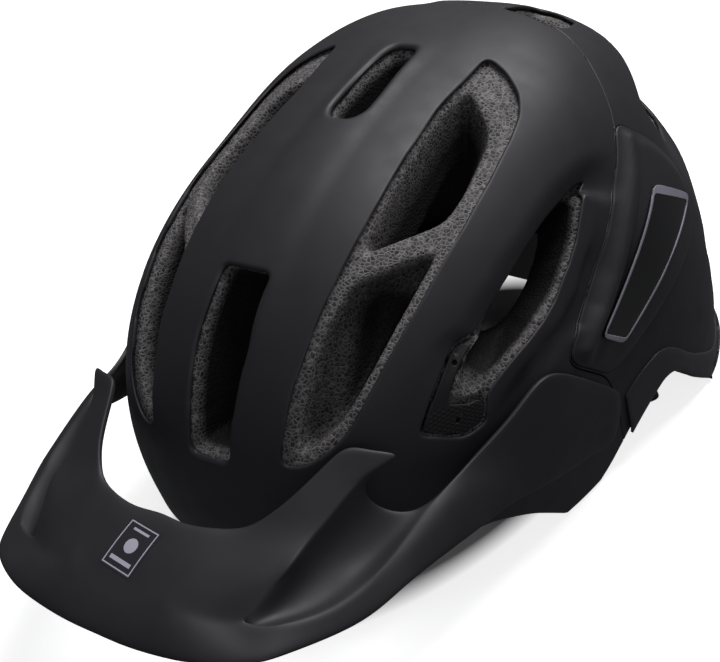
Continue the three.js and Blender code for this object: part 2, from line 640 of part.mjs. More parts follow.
const floorTurn = new THREE.Matrix4().makeRotationX(-TILT);
function makeAnchor(centre) {
  return plateAt(centre, [1.6, 17, 9]);
}
function makeDivider() {
  return plateAt(DIVIDER, [6, 15, 17], floorTurn);
}
const CHIN_Y = 4;
function chinStop(x, height) {
  return [x, CHIN_Y, onTable(CHIN_Y, height), FORWARD];
}
function makeChinStrap(toX) {
  const stops = [chinStop(72.2, 8), chinStop(67, 3.4), chinStop(58, 1.8), chinStop(lerp(58, toX, 0.5), 1.4),
    chinStop(toX, 4.6)];
  return ribbon(stops, WEBBING_WIDTH, WEBBING_THICKNESS, 12);
}
function onFloorBox(x0, x1, halfWidth, low, high) {
  const centre = [(x0 + x1) / 2, CHIN_Y, onTable(CHIN_Y, (low + high) / 2)];
  return plateAt(centre, [x1 - x0, 2 * halfWidth, high - low], floorTurn);
}
const BUCKLE_LOW = 0.4;
const BUCKLE_HIGH = 9;
function makeBuckleFemale() {
  const body = onFloorBox(-8, 21, 11.5, BUCKLE_LOW, BUCKLE_HIGH);
  return body.subtract(onFloorBox(-10, 12, 9.2, 2.2, 7.4));
}
function makeBuckleMale() {
  const head = onFloorBox(-24, -8.6, 11.5, BUCKLE_LOW, BUCKLE_HIGH);
  const prongs = onFloorBox(-9, 10, 8.4, 2.8, 6.8).subtract(onFloorBox(-4, 4, 5.6, 2, 8));
  return head.add(prongs);
}
function makeKeeper() {
  return onFloorBox(34, 39, 10.5, 0.2, 6).subtract(onFloorBox(33, 40, 8.4, 0.35, 4.6));
}

// ---------------------------------------------------------------- materials and assembly
const material = (color, roughness, metalness = 0) =>
  new THREE.MeshStandardMaterial({ color, roughness, metalness });
const SHELL = material(0x23252b, 0.55);
const VISOR_PLASTIC = material(0x2c2e34, 0.6);
const FOAM = material(0x3a3738, 0.85);
const RUBBER = material(0x1d1d20, 0.8);
const GLOSS = material(0x14161b, 0.25);
const NYLON = material(0x151517, 0.5);
const FABRIC = material(0x19191b, 0.95);
const PAPER = material(0xd8d8da, 0.6);
const METAL = material(0x9a9a9c, 0.35, 1);

const helmet = new THREE.Group();
helmet.rotation.x = TILT;
helmet.position.set(0, FORWARD_SHIFT, FLOOR_DROP);

function place(name, shape, look) {
  const mesh = shape.getMesh();
  const geometry = new THREE.BufferGeometry();
  geometry.setAttribute('position', new THREE.BufferAttribute(Float32Array.from(mesh.vertProperties), 3));
  geometry.setIndex(new THREE.BufferAttribute(Uint32Array.from(mesh.triVerts), 1));
  const flat = geometry.toNonIndexed();
  flat.computeVertexNormals();
  const piece = new THREE.Mesh(flat, look);
  piece.name = name;
  helmet.add(piece);
}

function placePair(name, shape, look) {
  place(`${name}_left`, shape, look);
  place(`${name}_right`, mirrored(shape), look);
}

const skin = makeSkin();
place('eps_liner', makeLiner(), FOAM);
place('top_shell', makeTopShell(skin), SHELL);
place('rear_shell', makeRearShell(skin), SHELL);
place('rear_bumper', makeBumper(), SHELL);
placePair('side_band', makeBand(), SHELL);
placePair('side_plate', makePlate(), GLOSS);
placePair('eyewear_grip', makeGrip(), RUBBER);
place('visor', makeVisor(), VISOR_PLASTIC);
place('size_label', makeLabel(), PAPER);
placePair('visor_pin', makePivotPin(), METAL);
placePair('visor_bush', makePivotBush(), NYLON);
place('brow_pad', makePad(-54, 54, 2.5, 15), FABRIC);
placePair('crown_pad', makeCrownPad(6.5, 15, 60, 125), FABRIC);
placePair('side_pad', makePad(72, 108, 4, 16), FABRIC);
placePair('retention_arm', makeArm(), NYLON);
placePair('temple_pin', makeTemplePin(), METAL);
place('nape_cradle', makeCradle(), NYLON);
place('height_slider', makeHeightSlider(), NYLON);
place('height_anchor', makeHeightAnchor(), NYLON);
place('dial_housing', makeDialHousing(), NYLON);
place('fit_dial', makeDial(), RUBBER);
placePair('front_anchor', makeAnchor(FRONT_ANCHOR), NYLON);
placePair('rear_anchor', makeAnchor(REAR_ANCHOR), NYLON);
placePair('front_strap', makeFrontStrap(), FABRIC);
placePair('rear_strap', makeRearStrap(), FABRIC);
placePair('strap_divider', makeDivider(), NYLON);
place('chin_strap_left', makeChinStrap(21.6), FABRIC);
place('chin_strap_right', mirrored(makeChinStrap(24.6)), FABRIC);
place('strap_keeper', makeKeeper(), RUBBER);
place('buckle_female', makeBuckleFemale(), GLOSS);
place('buckle_male', makeBuckleMale(), GLOSS);

export default helmet;
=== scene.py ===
# Looks of the trail helmet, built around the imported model.
# Shapes are worked out in the part's own design frame, in millimetres: the centre of the crown shell
# at the origin, front along -Y, wearer's left along +X. They are then leaned back and set on the
# table like the part, in metres.
import math

import bmesh
import bpy
import numpy as np
import openvdb
from mathutils import Matrix, Vector
from mathutils.bvhtree import BVHTree
from mathutils.geometry import delaunay_2d_cdt


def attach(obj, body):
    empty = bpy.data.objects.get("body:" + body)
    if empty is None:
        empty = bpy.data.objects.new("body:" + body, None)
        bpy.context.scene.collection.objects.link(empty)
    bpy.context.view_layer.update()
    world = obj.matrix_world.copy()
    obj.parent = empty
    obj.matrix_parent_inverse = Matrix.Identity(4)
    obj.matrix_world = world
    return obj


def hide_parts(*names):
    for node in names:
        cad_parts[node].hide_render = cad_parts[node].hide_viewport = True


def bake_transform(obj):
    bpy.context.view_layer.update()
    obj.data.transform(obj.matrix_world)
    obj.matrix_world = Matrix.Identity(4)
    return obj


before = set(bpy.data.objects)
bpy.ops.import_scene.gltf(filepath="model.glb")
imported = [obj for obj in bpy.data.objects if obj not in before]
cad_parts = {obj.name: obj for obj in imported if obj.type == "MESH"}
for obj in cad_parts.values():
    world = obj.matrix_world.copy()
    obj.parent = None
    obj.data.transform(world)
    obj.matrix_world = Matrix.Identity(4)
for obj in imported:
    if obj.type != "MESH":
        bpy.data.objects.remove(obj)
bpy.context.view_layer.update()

# ---------------------------------------------------------------- dimensions, mm and degrees
HALF_WIDTH, FRONT_LENGTH, REAR_LENGTH = 96, 148, 142
CROWN_HEIGHT, SKIRT_DEPTH, SQUARENESS = 103, 420, 2.4
HEAD = (75, 120, 106, 78, 420, 2.3)
FLARE_HIGH, FLARE_LOW = 0.032, 0.165
REST_TILT, FORWARD_SHIFT, FLOOR_DROP = math.radians(16), 20.6, 66.0
SKIN_LIFT = 0.8
MM = 0.001
SHELL_WALL = 1.6
LINER_DEPTH = 2.1
OUTLINE_STEP = 0.9

# ---------------------------------------------------------------- directions and radii


def smooth(low, high, x):
    t = np.clip((x - low) / (high - low), 0, 1)
    return t * t * (3 - 2 * t)


def mix(a, b, t):
    return a + (b - a) * t


def aim(az, el):
    az, el = np.radians(az), np.radians(el)
    return np.stack([np.sin(az) * np.cos(el), -np.cos(az) * np.cos(el), np.sin(el)], -1)


def aim_over(u, v):
    u, v = np.radians(u), np.radians(v)
    return np.stack([np.sin(u), -np.cos(u) * np.cos(v), np.cos(u) * np.sin(v)], -1)


def azimuth(d):
    return np.degrees(np.arctan2(d[..., 0], -d[..., 1]))


def elevation(d):
    return np.degrees(np.arctan2(d[..., 2], np.hypot(d[..., 0], d[..., 1])))


def across(d):
    return np.degrees(np.arcsin(np.clip(d[..., 0], -1, 1)))


def along(d):
    return np.degrees(np.arctan2(d[..., 2], -d[..., 1]))


def super_radius(d, half_width, front, rear, up, down, power):
    length = np.where(d[..., 1] < 0, front, rear)
    height = np.where(d[..., 2] > 0, up, down)
    total = np.abs(d[..., 0] / half_width) ** power
    total = total + np.abs(d[..., 1] / length) ** power + np.abs(d[..., 2] / height) ** power
    return total ** (-1 / power)


# each rear corner is hollowed between its shoulder and its skirt: elevation and depth
REAR_HOLLOW = np.array([
    (-26, 0), (-19, 3), (-13, 6.5), (-5, 4.6), (1, 4.2), (7, 7), (14, 9.5), (20, 4), (28, 0)], float)


def rear_hollow(az, el):
    depth = np.interp(el, REAR_HOLLOW[:, 0], REAR_HOLLOW[:, 1])
    return depth * smooth(126, 145, az) * mix(1, 0.35, smooth(158, 178, az))


def outer_radius(d):
    az = np.abs(azimuth(d))
    el = elevation(d)
    behind = smooth(70, 125, az) * mix(1, 0.5, smooth(140, 180, az))
    below = mix(FLARE_LOW, FLARE_HIGH, smooth(-18, 32, el)) * smooth(75, 45, el)
    base = super_radius(d, HALF_WIDTH, FRONT_LENGTH, REAR_LENGTH, CROWN_HEIGHT, SKIRT_DEPTH, SQUARENESS)
    return base * (1 + behind * below) - rear_hollow(az, el)


def on_shell(d):
    """The points of the crown's outer surface in these directions."""
    return d * outer_radius(d)[:, None]


def head_radius(d):
    return super_radius(d, *HEAD)


# lower edge of the helmet: azimuth and elevation
RIM = np.array([
    (0, -2), (25, -3.5), (40, -7), (47.8, -13.8), (53.5, -20.8), (59, -27.5), (64.7, -29.6),
    (75.4, -29.9), (81.9, -27.9), (94.5, -22.2), (99.3, -20.5), (104, -23), (110, -29.4),
    (117.8, -34.5), (125, -38), (133, -39), (145, -37), (160, -31), (180, -27)], float)


def rim_elevation(az):
    a = np.abs((np.asarray(az, float) + 180) % 360 - 180)
    soft = [np.interp(np.abs(a + shift), RIM[:, 0], RIM[:, 1]) for shift in (-2.4, -1.2, 0, 1.2, 2.4)]
    return np.mean(soft, axis=0)


# The whole helmet laid flat: distance from the middle is the angle down from straight up.
def flat_of(d):
    fall = 90 - elevation(d)
    az = np.radians(azimuth(d))
    return np.stack([fall * np.sin(az), -fall * np.cos(az)], -1)


def direction_of(flat):
    fall = np.hypot(flat[..., 0], flat[..., 1])
    return aim(np.degrees(np.arctan2(flat[..., 0], -flat[..., 1])), 90 - fall)


def to_world(points):
    """Design frame, mm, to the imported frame, metres."""
    points = np.asarray(points, float)
    c, s = math.cos(REST_TILT), math.sin(REST_TILT)
    x, y, z = points[..., 0], points[..., 1], points[..., 2]
    return np.stack([x, y * c - z * s + FORWARD_SHIFT, y * s + z * c + FLOOR_DROP], -1) * MM


def height_above_table(points):
    return points[..., 1] * math.sin(REST_TILT) + points[..., 2] * math.cos(REST_TILT) + FLOOR_DROP


# ---------------------------------------------------------------- outlines
FRONT_VENT = [
    (-4.6, 45), (4.6, 45), (4.7, 33), (4.1, 26), (3.4, 16.8), (-3.4, 16.8), (-4.1, 26), (-4.7, 33)]
CROWN_VENT = [
    (-4.2, 84), (-2.4, 80.9), (2.4, 80.9), (4.2, 84), (4.3, 90), (3.5, 107), (2.4, 109.4), (-2.4, 109.4),
    (-3.5, 107), (-4.3, 90)]
LONG_VENT = [
    (18.7, 111), (18.4, 91.4), (18.5, 71.6), (18.1, 62.5), (16.7, 50.7), (14.9, 40.3), (12.8, 27.8),
    (11.6, 18), (15.2, 18.1), (18.7, 20.6), (21.4, 23.9), (25.7, 33.9), (30.2, 46.5), (34, 63.2),
    (35.3, 77.3), (34.6, 91),
    (32.9, 99.2), (29.8, 104.6), (24.2, 108.8)]
LONG_UPPER = [
    (19, 100), (18.6, 87), (18.8, 70), (18.2, 60), (17.4, 50.6), (23.8, 55.8), (29.7, 61.5), (31.6, 67),
    (32.2, 75), (32, 83), (31, 90), (28.3, 94.2), (25, 97), (21.7, 100.4)]
LONG_LOWER = [
    (17.4, 45.5), (16.2, 40), (14.9, 35.7), (13.6, 24.7), (13, 20.5), (14.2, 18.9), (17.3, 21.2),
    (20.2, 24.3), (24.4, 33.6), (28.6, 46.1), (30.9, 55.2), (27.7, 54), (22.1, 48.9)]
SIDE_VENT = [
    (52, 104.5), (53, 98.2), (55.8, 89.7), (58.1, 80.3), (58.7, 70), (58.1, 61.9), (57.3, 53.5), (55, 45.6),
    (51.6, 39), (47.8, 33.8), (44.5, 29.4), (42.6, 26.6), (42.5, 19.8), (38.6, 18.2), (30.9, 21.4),
    (33.2, 28.9), (35.3, 35.6), (36.3, 37.8), (39.9, 40.2), (44.3, 51.5), (48.1, 67), (49.8, 78.5),
    (51.2, 99)]
SIDE_UPPER = [
    (51.8, 98), (55, 91), (57.4, 84), (58.4, 74), (58.2, 62), (56.8, 54), (54, 46), (50.6, 40), (46, 37.6),
    (41.4, 38.6), (44.8, 51.5), (48.6, 66.9), (50.2, 78.5), (51.4, 93)]
SIDE_LOWER = [
    (48.6, 44), (53.4, 44.6), (50.6, 39), (46.8, 34), (43.4, 30), (41, 27), (37.4, 27.4), (38.5, 33.6),
    (40.9, 39.4)]
GRIP = [
    (31.4, 21.7), (38.5, 18.7), (41.9, 20.1), (42.1, 24.2), (41, 25.7), (39.5, 25.1), (35.5, 26),
    (36.3, 29.8), (37.8, 34.6), (39.4, 38.2), (39.8, 39.2), (36.7, 37.3), (35.8, 35.3), (33.7, 28.8)]
GRIP_PINS = [(37.4, 22.3), (36.6, 34)]
REAR_TOP_VENT = [(8.5, 132.6), (20.8, 131), (21.2, 137), (18, 144.5), (8.5, 146.5)]
REAR_FLANK_VENT = [(134.5, 26), (146, 27), (158, 24.5), (161, 16), (153, 8), (141, 10), (131.5, 17)]
REAR_LOW_VENT = [(128, -8), (146, -7), (147, -17), (129, -17)]
REAR_MIDDLE_VENT = [(172, 24), (188, 24), (186, 2), (174, 2)]
SEAM = [
    (180.3, 46.2), (165, 45.7), (149.5, 44), (132.3, 40), (121.5, 35.9), (99.4, 28.4), (83.1, 21),
    (67, 13.4), (67.2, 9.6), (79, -4.8), (81, -15), (82, -42)]
BAND = [
    (120.5, 35.3), (113.1, 32.8), (99.4, 28), (83.1, 20.6), (67.6, 13.2), (67.8, 9.9), (79.7, -4.4),
    (86, -5.4), (104, -2.4), (119, 0), (126, 5), (128, 13), (126, 24)]
PLATE = [(113.1, 22.1), (122.8, 9.3), (105.8, 7.6), (83.1, 3.4), (76.3, 11.2)]


def rounded(points, radius, closed=True, steps=5):
    """Corners of an outline turned into curves that start at most radius away from the corner."""
    points = np.asarray(points, float)
    count = len(points)
    out = []
    for i in range(count):
        here = points[i]
        if not closed and i in (0, count - 1):
            out.append(here)
            continue
        before, after = points[i - 1], points[(i + 1) % count]
        back, ahead = before - here, after - here
        start = here + back * min(0.45, radius / np.linalg.norm(back))
        end = here + ahead * min(0.45, radius / np.linalg.norm(ahead))
        for t in np.linspace(0, 1, steps):
            out.append(start * (1 - t) ** 2 + 2 * here * t * (1 - t) + end * t * t)
    return np.array(out)


def evenly(points, step, closed=True):
    """Points along a path in space, at most step apart."""
    path = np.vstack([points, points[:1]]) if closed else points
    out = []
    for a, b in zip(path[:-1], path[1:]):
        pieces = max(1, int(math.ceil(np.linalg.norm(b - a) / step)))
        for k in range(pieces):
            out.append(a + (b - a) * k / pieces)
    if not closed:
        out.append(path[-1])
    return np.array(out)


class Outline:
    """A line on the shell: in space, laid flat, and how far anything is from it."""

    def __init__(self, space, fillet=1.0, closed=True):
        self.space = evenly(space, OUTLINE_STEP, closed)
        self.flat = flat_of(self.space)
        self.fillet = fillet
        self.closed = closed

    def distance(self, points):
        near = np.full(len(points), 1e9)
        for start in range(0, len(points), 8000):
            block = points[start:start + 8000]
            gaps = block[:, None, :] - self.space[None, :, :]
            near[start:start + 8000] = np.sqrt((gaps ** 2).sum(2).min(1))
        return near

    def near(self, points, reach):
        low, high = self.space.min(0) - reach, self.space.max(0) + reach
        return np.all((points > low) & (points < high), axis=1)


def outline(angles, towards, corner, side=1, fillet=1.0, closed=True):
    angles = rounded(angles, corner, closed)
    d = towards(angles[:, 0], angles[:, 1])
    space = on_shell(d)
    space[:, 0] *= side
    return Outline(space, fillet, closed)


def inside(polygon, points):
    """Which flat points lie within a closed flat polygon."""
    result = np.zeros(len(points), bool)
    x, y = points[:, 0], points[:, 1]
    for (x0, y0), (x1, y1) in zip(polygon, np.roll(polygon, -1, axis=0)):
        if y0 == y1:
            continue
        crosses = (y0 > y) != (y1 > y)
        result ^= crosses & (x < (x1 - x0) * (y - y0) / (y1 - y0) + x0)
    return result


def pair(angles, towards, corner, fillet):
    return [outline(angles, towards, corner, side, fillet) for side in (1, -1)]


# Each vent: its outline, how its angles are read, its corner radius and the radius of its rolled edge.
MIDDLE_VENTS = (
    (FRONT_VENT, aim_over, 1.3, 2.0), (CROWN_VENT, aim_over, 1.6, 2.4), (REAR_MIDDLE_VENT, aim, 3, 2.0))
CELLED_VENTS = ((LONG_VENT, aim_over, 2.2, 0.9), (SIDE_VENT, aim_over, 1.6, 0.9))
REAR_VENTS = ((REAR_TOP_VENT, aim_over, 2, 1.4), (REAR_FLANK_VENT, aim, 3, 1.6), (REAR_LOW_VENT, aim, 3, 1.4))


def vent_lines(pairs):
    """The vents in the middle and these pairs of vents, as outlines on the shell."""
    lines = [outline(angles, towards, corner, 1, fillet) for angles, towards, corner, fillet in MIDDLE_VENTS]
    for vent in pairs:
        lines += pair(*vent)
    return lines


def shell_openings():
    return vent_lines(CELLED_VENTS + REAR_VENTS)


def rim_outline(lift, fillet):
    """The lower edge, raised wherever it would come nearer the table than lift."""
    az = np.arange(-180, 180, 1.0)
    low, high = rim_elevation(az), np.full(len(az), 30.0)
    for _ in range(24):
        middle = (low + high) / 2
        d = aim(az, middle)
        clear = height_above_table(on_shell(d)) > lift
        high = np.where(clear, middle, high)
        low = np.where(clear, low, middle)
    free = height_above_table(on_shell(aim(az, rim_elevation(az)))) > lift
    return Outline(on_shell(aim(az, np.where(free, rim_elevation(az), high))), fillet)


SEAM_ROLL = 0.65


def seam_outline():
    one = rounded(SEAM[1:], 4, closed=False)
    both = np.vstack([one[::-1], [(180, 46.2)], one * (-1, 1)])
    return Outline(on_shell(aim(both[:, 0], both[:, 1])), SEAM_ROLL, closed=False)


def behind_seam(d):
    region = np.vstack([[(190, 46.2)], rounded(SEAM[1:], 4, closed=False), [(82, -80), (190, -80)]])
    return inside(region, np.stack([np.abs(azimuth(d)), elevation(d)], -1))


# ---------------------------------------------------------------- relief of the shell
SPINE_HALF, SPINE_RISE = 7.6, 1.35
ROLL_RADIUS = 7.5
FOLD_DEPTH, FLUTE_DEPTH = 2.4, 4.2
SEAM_NOTCH = 0.7


def spine(d):
    """The raised middle between the long vents, with a crease at its foot."""
    v = along(d)
    t = np.clip(np.abs(across(d)) / SPINE_HALF, 0, 1)
    ends = smooth(24, 44, v) * smooth(118, 98, v)
    return SPINE_RISE * ends * (1 - t ** 2.5)


def side_line(u_points, v_points, d):
    """How many millimetres d lies outside a line given as across-angles along the shell."""
    limit = np.interp(along(d), v_points, u_points)
    return (np.abs(across(d)) - limit) * 1.9


def side_flute(d):
    """The shell rolls inwards along the upper edge of the side vent, and on past its upper end."""
    v = along(d)
    edge_u = (33.2, 36.3, 39.9, 44.3, 48.1, 49.8, 51.2, 52)
    edge_v = (28.9, 37.8, 40.2, 51.5, 67, 78.5, 99, 112)
    outside = side_line(edge_u, edge_v, d)
    far = mix(6, 15, smooth(97, 108, v))
    shape = smooth(-ROLL_RADIUS, 1.5, outside) * (1 - smooth(0.33, 1, outside / far))
    return -FLUTE_DEPTH * shape * smooth(27, 46, v) * smooth(121, 102, v)


def side_ridge(d):
    """A fold below the side vent, with a valley between it and the seam."""
    v = along(d)
    fold = (38.4, 43.2, 49.6, 59.5, 62.5, 61.2, 55.4)
    beyond = side_line(fold, (17.8, 22.6, 30.7, 46.5, 61, 86.2, 105.2), d)
    valley = smooth(0, 5, beyond) * smooth(22, 10, beyond)
    return -FOLD_DEPTH * valley * smooth(18, 30, v) * smooth(100, 78, v)


def relief(d):
    return spine(d) + side_flute(d) + side_ridge(d)


def rolled(distance, radius):
    t = np.clip(1 - distance / radius, 0, 1)
    return radius * (1 - np.sqrt(1 - t * t))


def edge_drop(points, lines):
    drop = np.zeros(len(points))
    for line in lines:
        near = line.near(points, line.fillet + 1)
        if near.any():
            drop[near] = np.maximum(drop[near], rolled(line.distance(points[near]), line.fillet))
    return drop


# ---------------------------------------------------------------- meshes
def linked(name, data):
    obj = bpy.data.objects.new(name, data)
    bpy.context.scene.collection.objects.link(obj)
    return obj


def new_object(name, points, faces, crease_angle=None):
    """A mesh from points in the design frame, mm."""
    mesh = bpy.data.meshes.new(name)
    mesh.from_pydata(to_world(points).tolist(), [], [[int(i) for i in f] for f in faces])
    mesh.validate()
    mesh.polygons.foreach_set("use_smooth", [True] * len(mesh.polygons))
    if crease_angle:
        mesh.set_sharp_from_angle(angle=math.radians(crease_angle))
    return linked(name, mesh)


def lattice(low, high, step):
    rows = np.arange(low[1], high[1], step * 0.866)
    cols = np.arange(low[0], high[0], step)
    shifts = np.where(np.arange(len(rows)) % 2, step / 2, 0)
    grid = [np.stack([cols + shift, np.full(len(cols), y)], -1) for shift, y in zip(shifts, rows)]
    return np.vstack(grid)


RING_SHARES = (0.12, 0.35, 0.65, 1.0, 1.5)


def edge_rings(lines):
    """Extra points beside each line, so that its rolled edge is round."""
    rings = []
    for line in lines:
        here = line.space
        forward = np.roll(here, -1, 0) - np.roll(here, 1, 0)
        if not line.closed:
            forward[0], forward[-1] = here[1] - here[0], here[-1] - here[-2]
        sideways = np.cross(here, forward)
        sideways /= np.linalg.norm(sideways, axis=1)[:, None]
        for share in RING_SHARES:
            for side in (1, -1):
                ring = here + sideways * side * share * line.fillet
                rings.append(ring[line.distance(ring) > share * line.fillet * 0.93])
    return flat_of(np.vstack(rings))


def triangulated(border, holes, lines, spacing):
    """Flat triangles that fill border but for the holes, and follow every line."""
    points, edges = [], []
    everything = [border] + holes + lines
    for line in everything:
        start = len(points)
        points += line.flat.tolist()
        count = len(line.flat)
        last = count if line.closed else count - 1
        edges += [(start + k, start + (k + 1) % count) for k in range(last)]
    plain = lattice(border.flat.min(0), border.flat.max(0), spacing)
    plain = plain[inside(border.flat, plain)]
    for line in everything:
        space = on_shell(direction_of(plain))
        near = line.near(space, line.fillet * 2)
        keep = ~near
        keep[near] = line.distance(space[near]) > line.fillet * 1.8
        plain = plain[keep]
    rings = edge_rings(everything)
    points += plain.tolist() + rings[inside(border.flat, rings)].tolist()
    result = delaunay_2d_cdt([Vector(p) for p in points], edges, [], 0, 1e-5)
    flat = np.array([tuple(p) for p in result[0]])
    faces = np.array(result[2])
    middle = flat[faces].mean(1)
    keep = inside(border.flat, middle)
    for hole in holes:
        keep &= ~inside(hole.flat, middle)
    return flat, faces[keep]


def compact(points, faces):
    used, where = np.unique(faces, return_inverse=True)
    return points[used], where.reshape(faces.shape)


def outward(points, faces):
    """The faces, all turned away from the design centre."""
    a, b, c = (points[faces[:, k]] for k in range(3))
    wrong = (np.cross(b - a, c - a) * a).sum(1) < 0
    faces = faces.copy()
    faces[wrong] = faces[wrong][:, ::-1]
    return faces


def solidified(obj, thickness, offset=-1.0):
    solid = obj.modifiers.new("thickness", "SOLIDIFY")
    solid.thickness = thickness * MM
    solid.offset = offset
    return obj


def sheet_piece(name, points, faces, wall):
    points, faces = compact(points, faces)
    return solidified(new_object(name, points, outward(points, faces)), wall)


# ---------------------------------------------------------------- materials
class Look:
    """A procedural material, put together node by node."""

    def __init__(self, name, color, rough, specular=0.5, coat=0.0, sheen=0.0):
        self.material = bpy.data.materials.new(name)
        self.material.use_nodes = True
        self.nodes = self.material.node_tree.nodes
        self.links = self.material.node_tree.links
        self.shader = self.nodes["Principled BSDF"]
        self.shader.inputs["Base Color"].default_value = (*color, 1)
        self.shader.inputs["Roughness"].default_value = rough
        self.shader.inputs["Specular IOR Level"].default_value = specular
        self.shader.inputs["Coat Weight"].default_value = coat
        self.shader.inputs["Coat Roughness"].default_value = 0.15
        self.shader.inputs["Sheen Weight"].default_value = sheen
        self.place = self.nodes.new("ShaderNodeTexCoord").outputs["Object"]
        self.last_bump = None

    def add(self, kind, **inputs):
        node = self.nodes.new("ShaderNode" + kind)
        for key, value in inputs.items():
            socket = node.inputs[key.replace("_", " ")]
            if isinstance(value, bpy.types.NodeSocket):
                self.links.new(value, socket)
            else:
                socket.default_value = value
        return node

    def noise(self, scale, detail=3.0):
        return self.add("TexNoise", Vector=self.place, Scale=scale, Detail=detail).outputs["Fac"]

    def cells(self, scale, feature="F1"):
        node = self.add("TexVoronoi", Vector=self.place, Scale=scale)
        node.feature = feature
        return node.outputs

    def ramp(self, value, *stops):
        node = self.add("ValToRGB", Fac=value)
        ramp = node.color_ramp
        while len(ramp.elements) < len(stops):
            ramp.elements.new(0.5)
        for element, (position, color) in zip(ramp.elements, stops):
            element.position = position
            element.color = (*color, 1) if len(color) == 3 else color
        return node.outputs["Color"]

    def remap(self, value, low, high, to_low, to_high):
        node = self.add("MapRange", Value=value)
        for key, number in (("From Min", low), ("From Max", high), ("To Min", to_low), ("To Max", to_high)):
            node.inputs[key].default_value = number
        return node.outputs["Result"]

    def blend(self, factor, a, b, kind="MIX"):
        node = self.nodes.new("ShaderNodeMix")
        node.data_type = "RGBA"
        node.blend_type = kind
        for socket, value in zip((node.inputs[0], node.inputs[6], node.inputs[7]), (factor, a, b)):
            if isinstance(value, bpy.types.NodeSocket):
                self.links.new(value, socket)
            else:
                socket.default_value = (*value, 1) if isinstance(value, tuple) else value
        return node.outputs[2]

    def color(self, socket):
        self.links.new(socket, self.shader.inputs["Base Color"])

    def rough(self, socket):
        self.links.new(socket, self.shader.inputs["Roughness"])

    def bump(self, height, distance_mm, strength=1.0):
        node = self.add("Bump", Height=height, Strength=strength, Distance=distance_mm * MM)
        if self.last_bump:
            self.links.new(self.last_bump, node.inputs["Normal"])
        self.last_bump = node.outputs["Normal"]
        self.links.new(self.last_bump, self.shader.inputs["Normal"])


PLAIN, COOL, WARM = (1, 1, 1), (1.0, 0.955, 1.17), (1.04, 0.985, 0.99)


def grey(value, tint=PLAIN):
    return tuple(value * share for share in tint)


def plastic(name, value, rough, grain=0.02, specular=0.5, coat=0.0):
    look = Look(name, grey(value, COOL), rough, specular, coat)
    patches = look.noise(35, 4)
    shade = look.ramp(patches, (0.3, grey(value * 0.9, COOL)), (0.7, grey(value * 1.1, COOL)))
    look.color(shade)
    look.rough(look.remap(look.noise(90, 3), 0.3, 0.7, rough - 0.04, rough + 0.05))
    look.bump(look.noise(2600, 2), grain)
    return look.material


BEADS = 640.0


def foam_look():
    """Dark bead foam: grey beads with paler joints, and painted shade that darkens it the deeper it lies
    below the shell.
    """
    look = Look("bead_foam", grey(0.1, WARM), 0.7, 0.3)
    gaps = look.cells(BEADS, "DISTANCE_TO_EDGE")["Distance"]
    joint = look.remap(gaps, 0.0, 0.17, 1.0, 0.0)
    own = look.add("SeparateColor", Color=look.cells(BEADS)["Color"]).outputs[0]
    bead = look.blend(own, grey(0.03, WARM), grey(0.17, WARM))
    tint = look.blend(joint, bead, grey(0.36, WARM))
    patches = look.remap(look.noise(420, 4), 0.35, 0.65, 0.55, 0.0)
    tint = look.blend(patches, tint, grey(0.07, WARM))
    # Painted shade: the "depth" attribute blends the foam colour towards near black.
    depth = look.nodes.new("ShaderNodeAttribute")
    depth.attribute_name = "depth"
    shade = look.remap(depth.outputs["Fac"], 2.5, 16.0, 0.0, 0.96)
    look.color(look.blend(shade, tint, grey(0.004)))
    look.bump(look.remap(gaps, 0.0, 0.3, 0.0, 1.0), 0.25, 0.8)
    look.bump(look.noise(1500, 3), 0.06)
    return look.material


def weave_look():
    look = Look("webbing", grey(0.012), 0.85, 0.3, sheen=0.25)
    uv = look.nodes.new("ShaderNodeUVMap").outputs["UV"]
    ribs = look.add("TexWave", Vector=uv, Scale=160.0, Distortion=0.4)
    ribs.bands_direction = "Y"
    warp = look.add("TexWave", Vector=uv, Scale=260.0, Distortion=0.6)
    both = look.blend(0.5, ribs.outputs["Color"], warp.outputs["Color"])
    look.color(look.ramp(both, (0.2, grey(0.006)), (0.8, grey(0.02))))
    look.bump(both, 0.18)
    return look.material


def cloth_look():
    look = Look("pad_cloth", grey(0.014), 0.95, 0.2, sheen=0.35)
    knit = look.cells(900)["Distance"]
    look.color(look.ramp(look.noise(300, 4), (0.3, grey(0.008)), (0.7, grey(0.022))))
    look.bump(knit, 0.15)
    return look.material


def metal_look():
    look = Look("steel", grey(0.35), 0.32)
    look.shader.inputs["Metallic"].default_value = 1.0
    look.bump(look.noise(900, 2), 0.01)
    return look.material


LOOKS = {
    "shell": plastic("shell_plastic", 0.030, 0.52),
    "visor": plastic("visor_plastic", 0.028, 0.52),
    "band": plastic("band_plastic", 0.030, 0.48),
    "bumper": plastic("bumper_plastic", 0.045, 0.45),
    "gloss": plastic("gloss_plastic", 0.006, 0.2, 0.004, coat=0.1),
    "trim": plastic("pale_trim", 0.34, 0.4),
    "rubber": plastic("rubber", 0.014, 0.62, 0.05),
    "nylon": plastic("nylon", 0.016, 0.42, 0.03),
    "foam": foam_look(),
    "webbing": weave_look(),
    "cloth": cloth_look(),
    "steel": metal_look(),
    "sticker": plastic("sticker", 0.035, 0.35, 0.004),
    "white": plastic("white_print", 0.62, 0.4, 0.003),
}


def finished(obj, look, body, *nodes):
    """Paints a piece and ties it to the frame."""
    obj.data.materials.clear()
    obj.data.materials.append(LOOKS[look])
    if body:
        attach(obj, body)
    if nodes:
        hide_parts(*nodes)
    return obj


# ---------------------------------------------------------------- camera, light, floor
LENS, SENSOR = 60.85, 36
VIEW_FROM = (260.04, -320.49, 349.62)
VIEW_RIGHT, VIEW_UP = (0.8353, 0.4940, -0.2411), (-0.1949, 0.6762, 0.7104)
VIEW_BACK = (0.5140, -0.5464, 0.6612)


